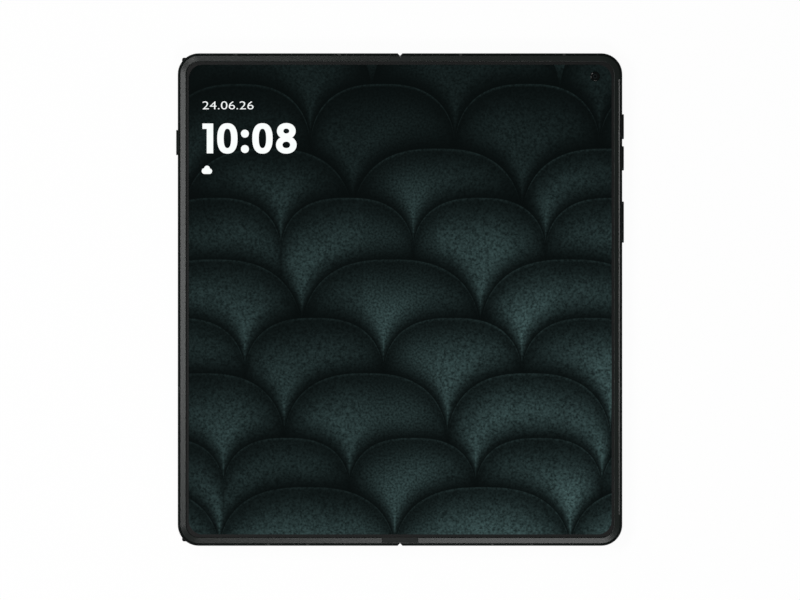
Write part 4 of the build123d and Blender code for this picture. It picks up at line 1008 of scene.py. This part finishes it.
def boxes_mesh(boxes):
    """Several boxes, each (x low, x high, y low, y high, z low, z high) in mm, with broken edges."""
    made = bmesh.new()
    for x0, x1, y0, y1, z0, z1 in boxes:
        new = bmesh.ops.create_cube(made, size=1.0)["verts"]
        for v in new:
            v.co = (
                ((x0 + x1) / 2 + v.co.x * (x1 - x0)) * mm,
                ((y0 + y1) / 2 + v.co.y * (y1 - y0)) * mm,
                ((z0 + z1) / 2 + v.co.z * (z1 - z0)) * mm,
            )
    short = min(min(b[1] - b[0], b[3] - b[2], b[5] - b[4]) for b in boxes)
    bmesh.ops.bevel(made, geom=made.edges, offset=0.2 * short * mm, segments=1, affect="EDGES")
    return as_mesh("boxes", made)


sleeve = boxes_mesh(
    [
        (port_x - 3.37, port_x + 3.37, tongue_front - 0.04, tongue_back, 4.85, 4.89),
        (port_x - 3.37, port_x + 3.37, tongue_front - 0.04, tongue_back, 4.11, 4.15),
        (port_x - 3.37, port_x + 3.37, tongue_front - 0.05, tongue_front - 0.005, 4.11, 4.89),
        (port_x - 3.4, port_x - 3.355, tongue_front - 0.04, tongue_back, 4.11, 4.89),
        (port_x + 3.355, port_x + 3.4, tongue_front - 0.04, tongue_back, 4.11, 4.89),
    ]
)
add_piece("inlet_tongue_sleeve", "right_half", "inner_plastic", sleeve, moulded)

gold_values = {"Metallic": 1.0, "Roughness": 0.25}
gold, tree, surface, where = start_material("gold_plated_contact", gold_values)
rub_size = 0.5 * mm
rubbed = add_node(
    tree, "TexNoise", None, {"Scale": 1 / rub_size, "Detail": 1.0}, {"Vector": where}
).outputs["Fac"]
finish(tree, surface, rubbed, ("#c8963c", "#e6bd6a"))
contacts = []
for i in range(12):
    x = port_x + (i - 5.5) * 0.5
    for z0, z1 in ((4.89, 4.92), (4.08, 4.11)):
        contacts.append((x - 0.13, x + 0.13, tongue_front + 0.5, tongue_front + 4.2, z0, z1))
add_piece("inlet_contacts", "right_half", "coil_copper", boxes_mesh(contacts), gold)


# ---- Sound openings
# Behind each slot in the top and bottom edges sits a woven steel mesh against dust.
# The wires are drawn 0.3 mm apart; the real cloth is five times finer.
woven_values = {"Metallic": 0.8, "Roughness": 0.4}
woven, tree, surface, where = start_material("stainless_woven_mesh", woven_values)
wire_pitch = 0.3 * mm
upright = add_node(tree, "Mapping", None, {"Rotation": (math.pi / 2, 0, 0)}, {"Vector": where}).outputs[0]
# The near-black cells between the wires are painted shade for the dark behind the mesh, which has no real
# openings.
cloth_values = {
    "Color1": colour("#050505"),
    "Color2": colour("#080808"),
    "Mortar": colour("#6b6d6e"),
    "Scale": 1.0,
    "Mortar Size": 0.2 * wire_pitch,
    "Brick Width": wire_pitch,
    "Row Height": wire_pitch,
}
cloth = add_node(tree, "TexBrick", {"offset": 0.0}, cloth_values, {"Vector": upright})
tree.links.new(cloth.outputs["Color"], surface.inputs["Base Color"])
slot_z = 4.5
slot_half_x, slot_half_z = 2.4, 0.42
for name, body, middles, y_low, y_high in (
    ("bottom_sound_mesh", "right_half", (54.75, 61.25), -79.1, -79.0),
    ("top_sound_mesh", "left_half", (-55.0,), 79.0, 79.1),
):
    heights = (slot_z - slot_half_z, slot_z + slot_half_z)
    mesh = boxes_mesh([(x - slot_half_x, x + slot_half_x, y_low, y_high, *heights) for x in middles])
    add_piece(name, body, "shield_steel", mesh, woven)
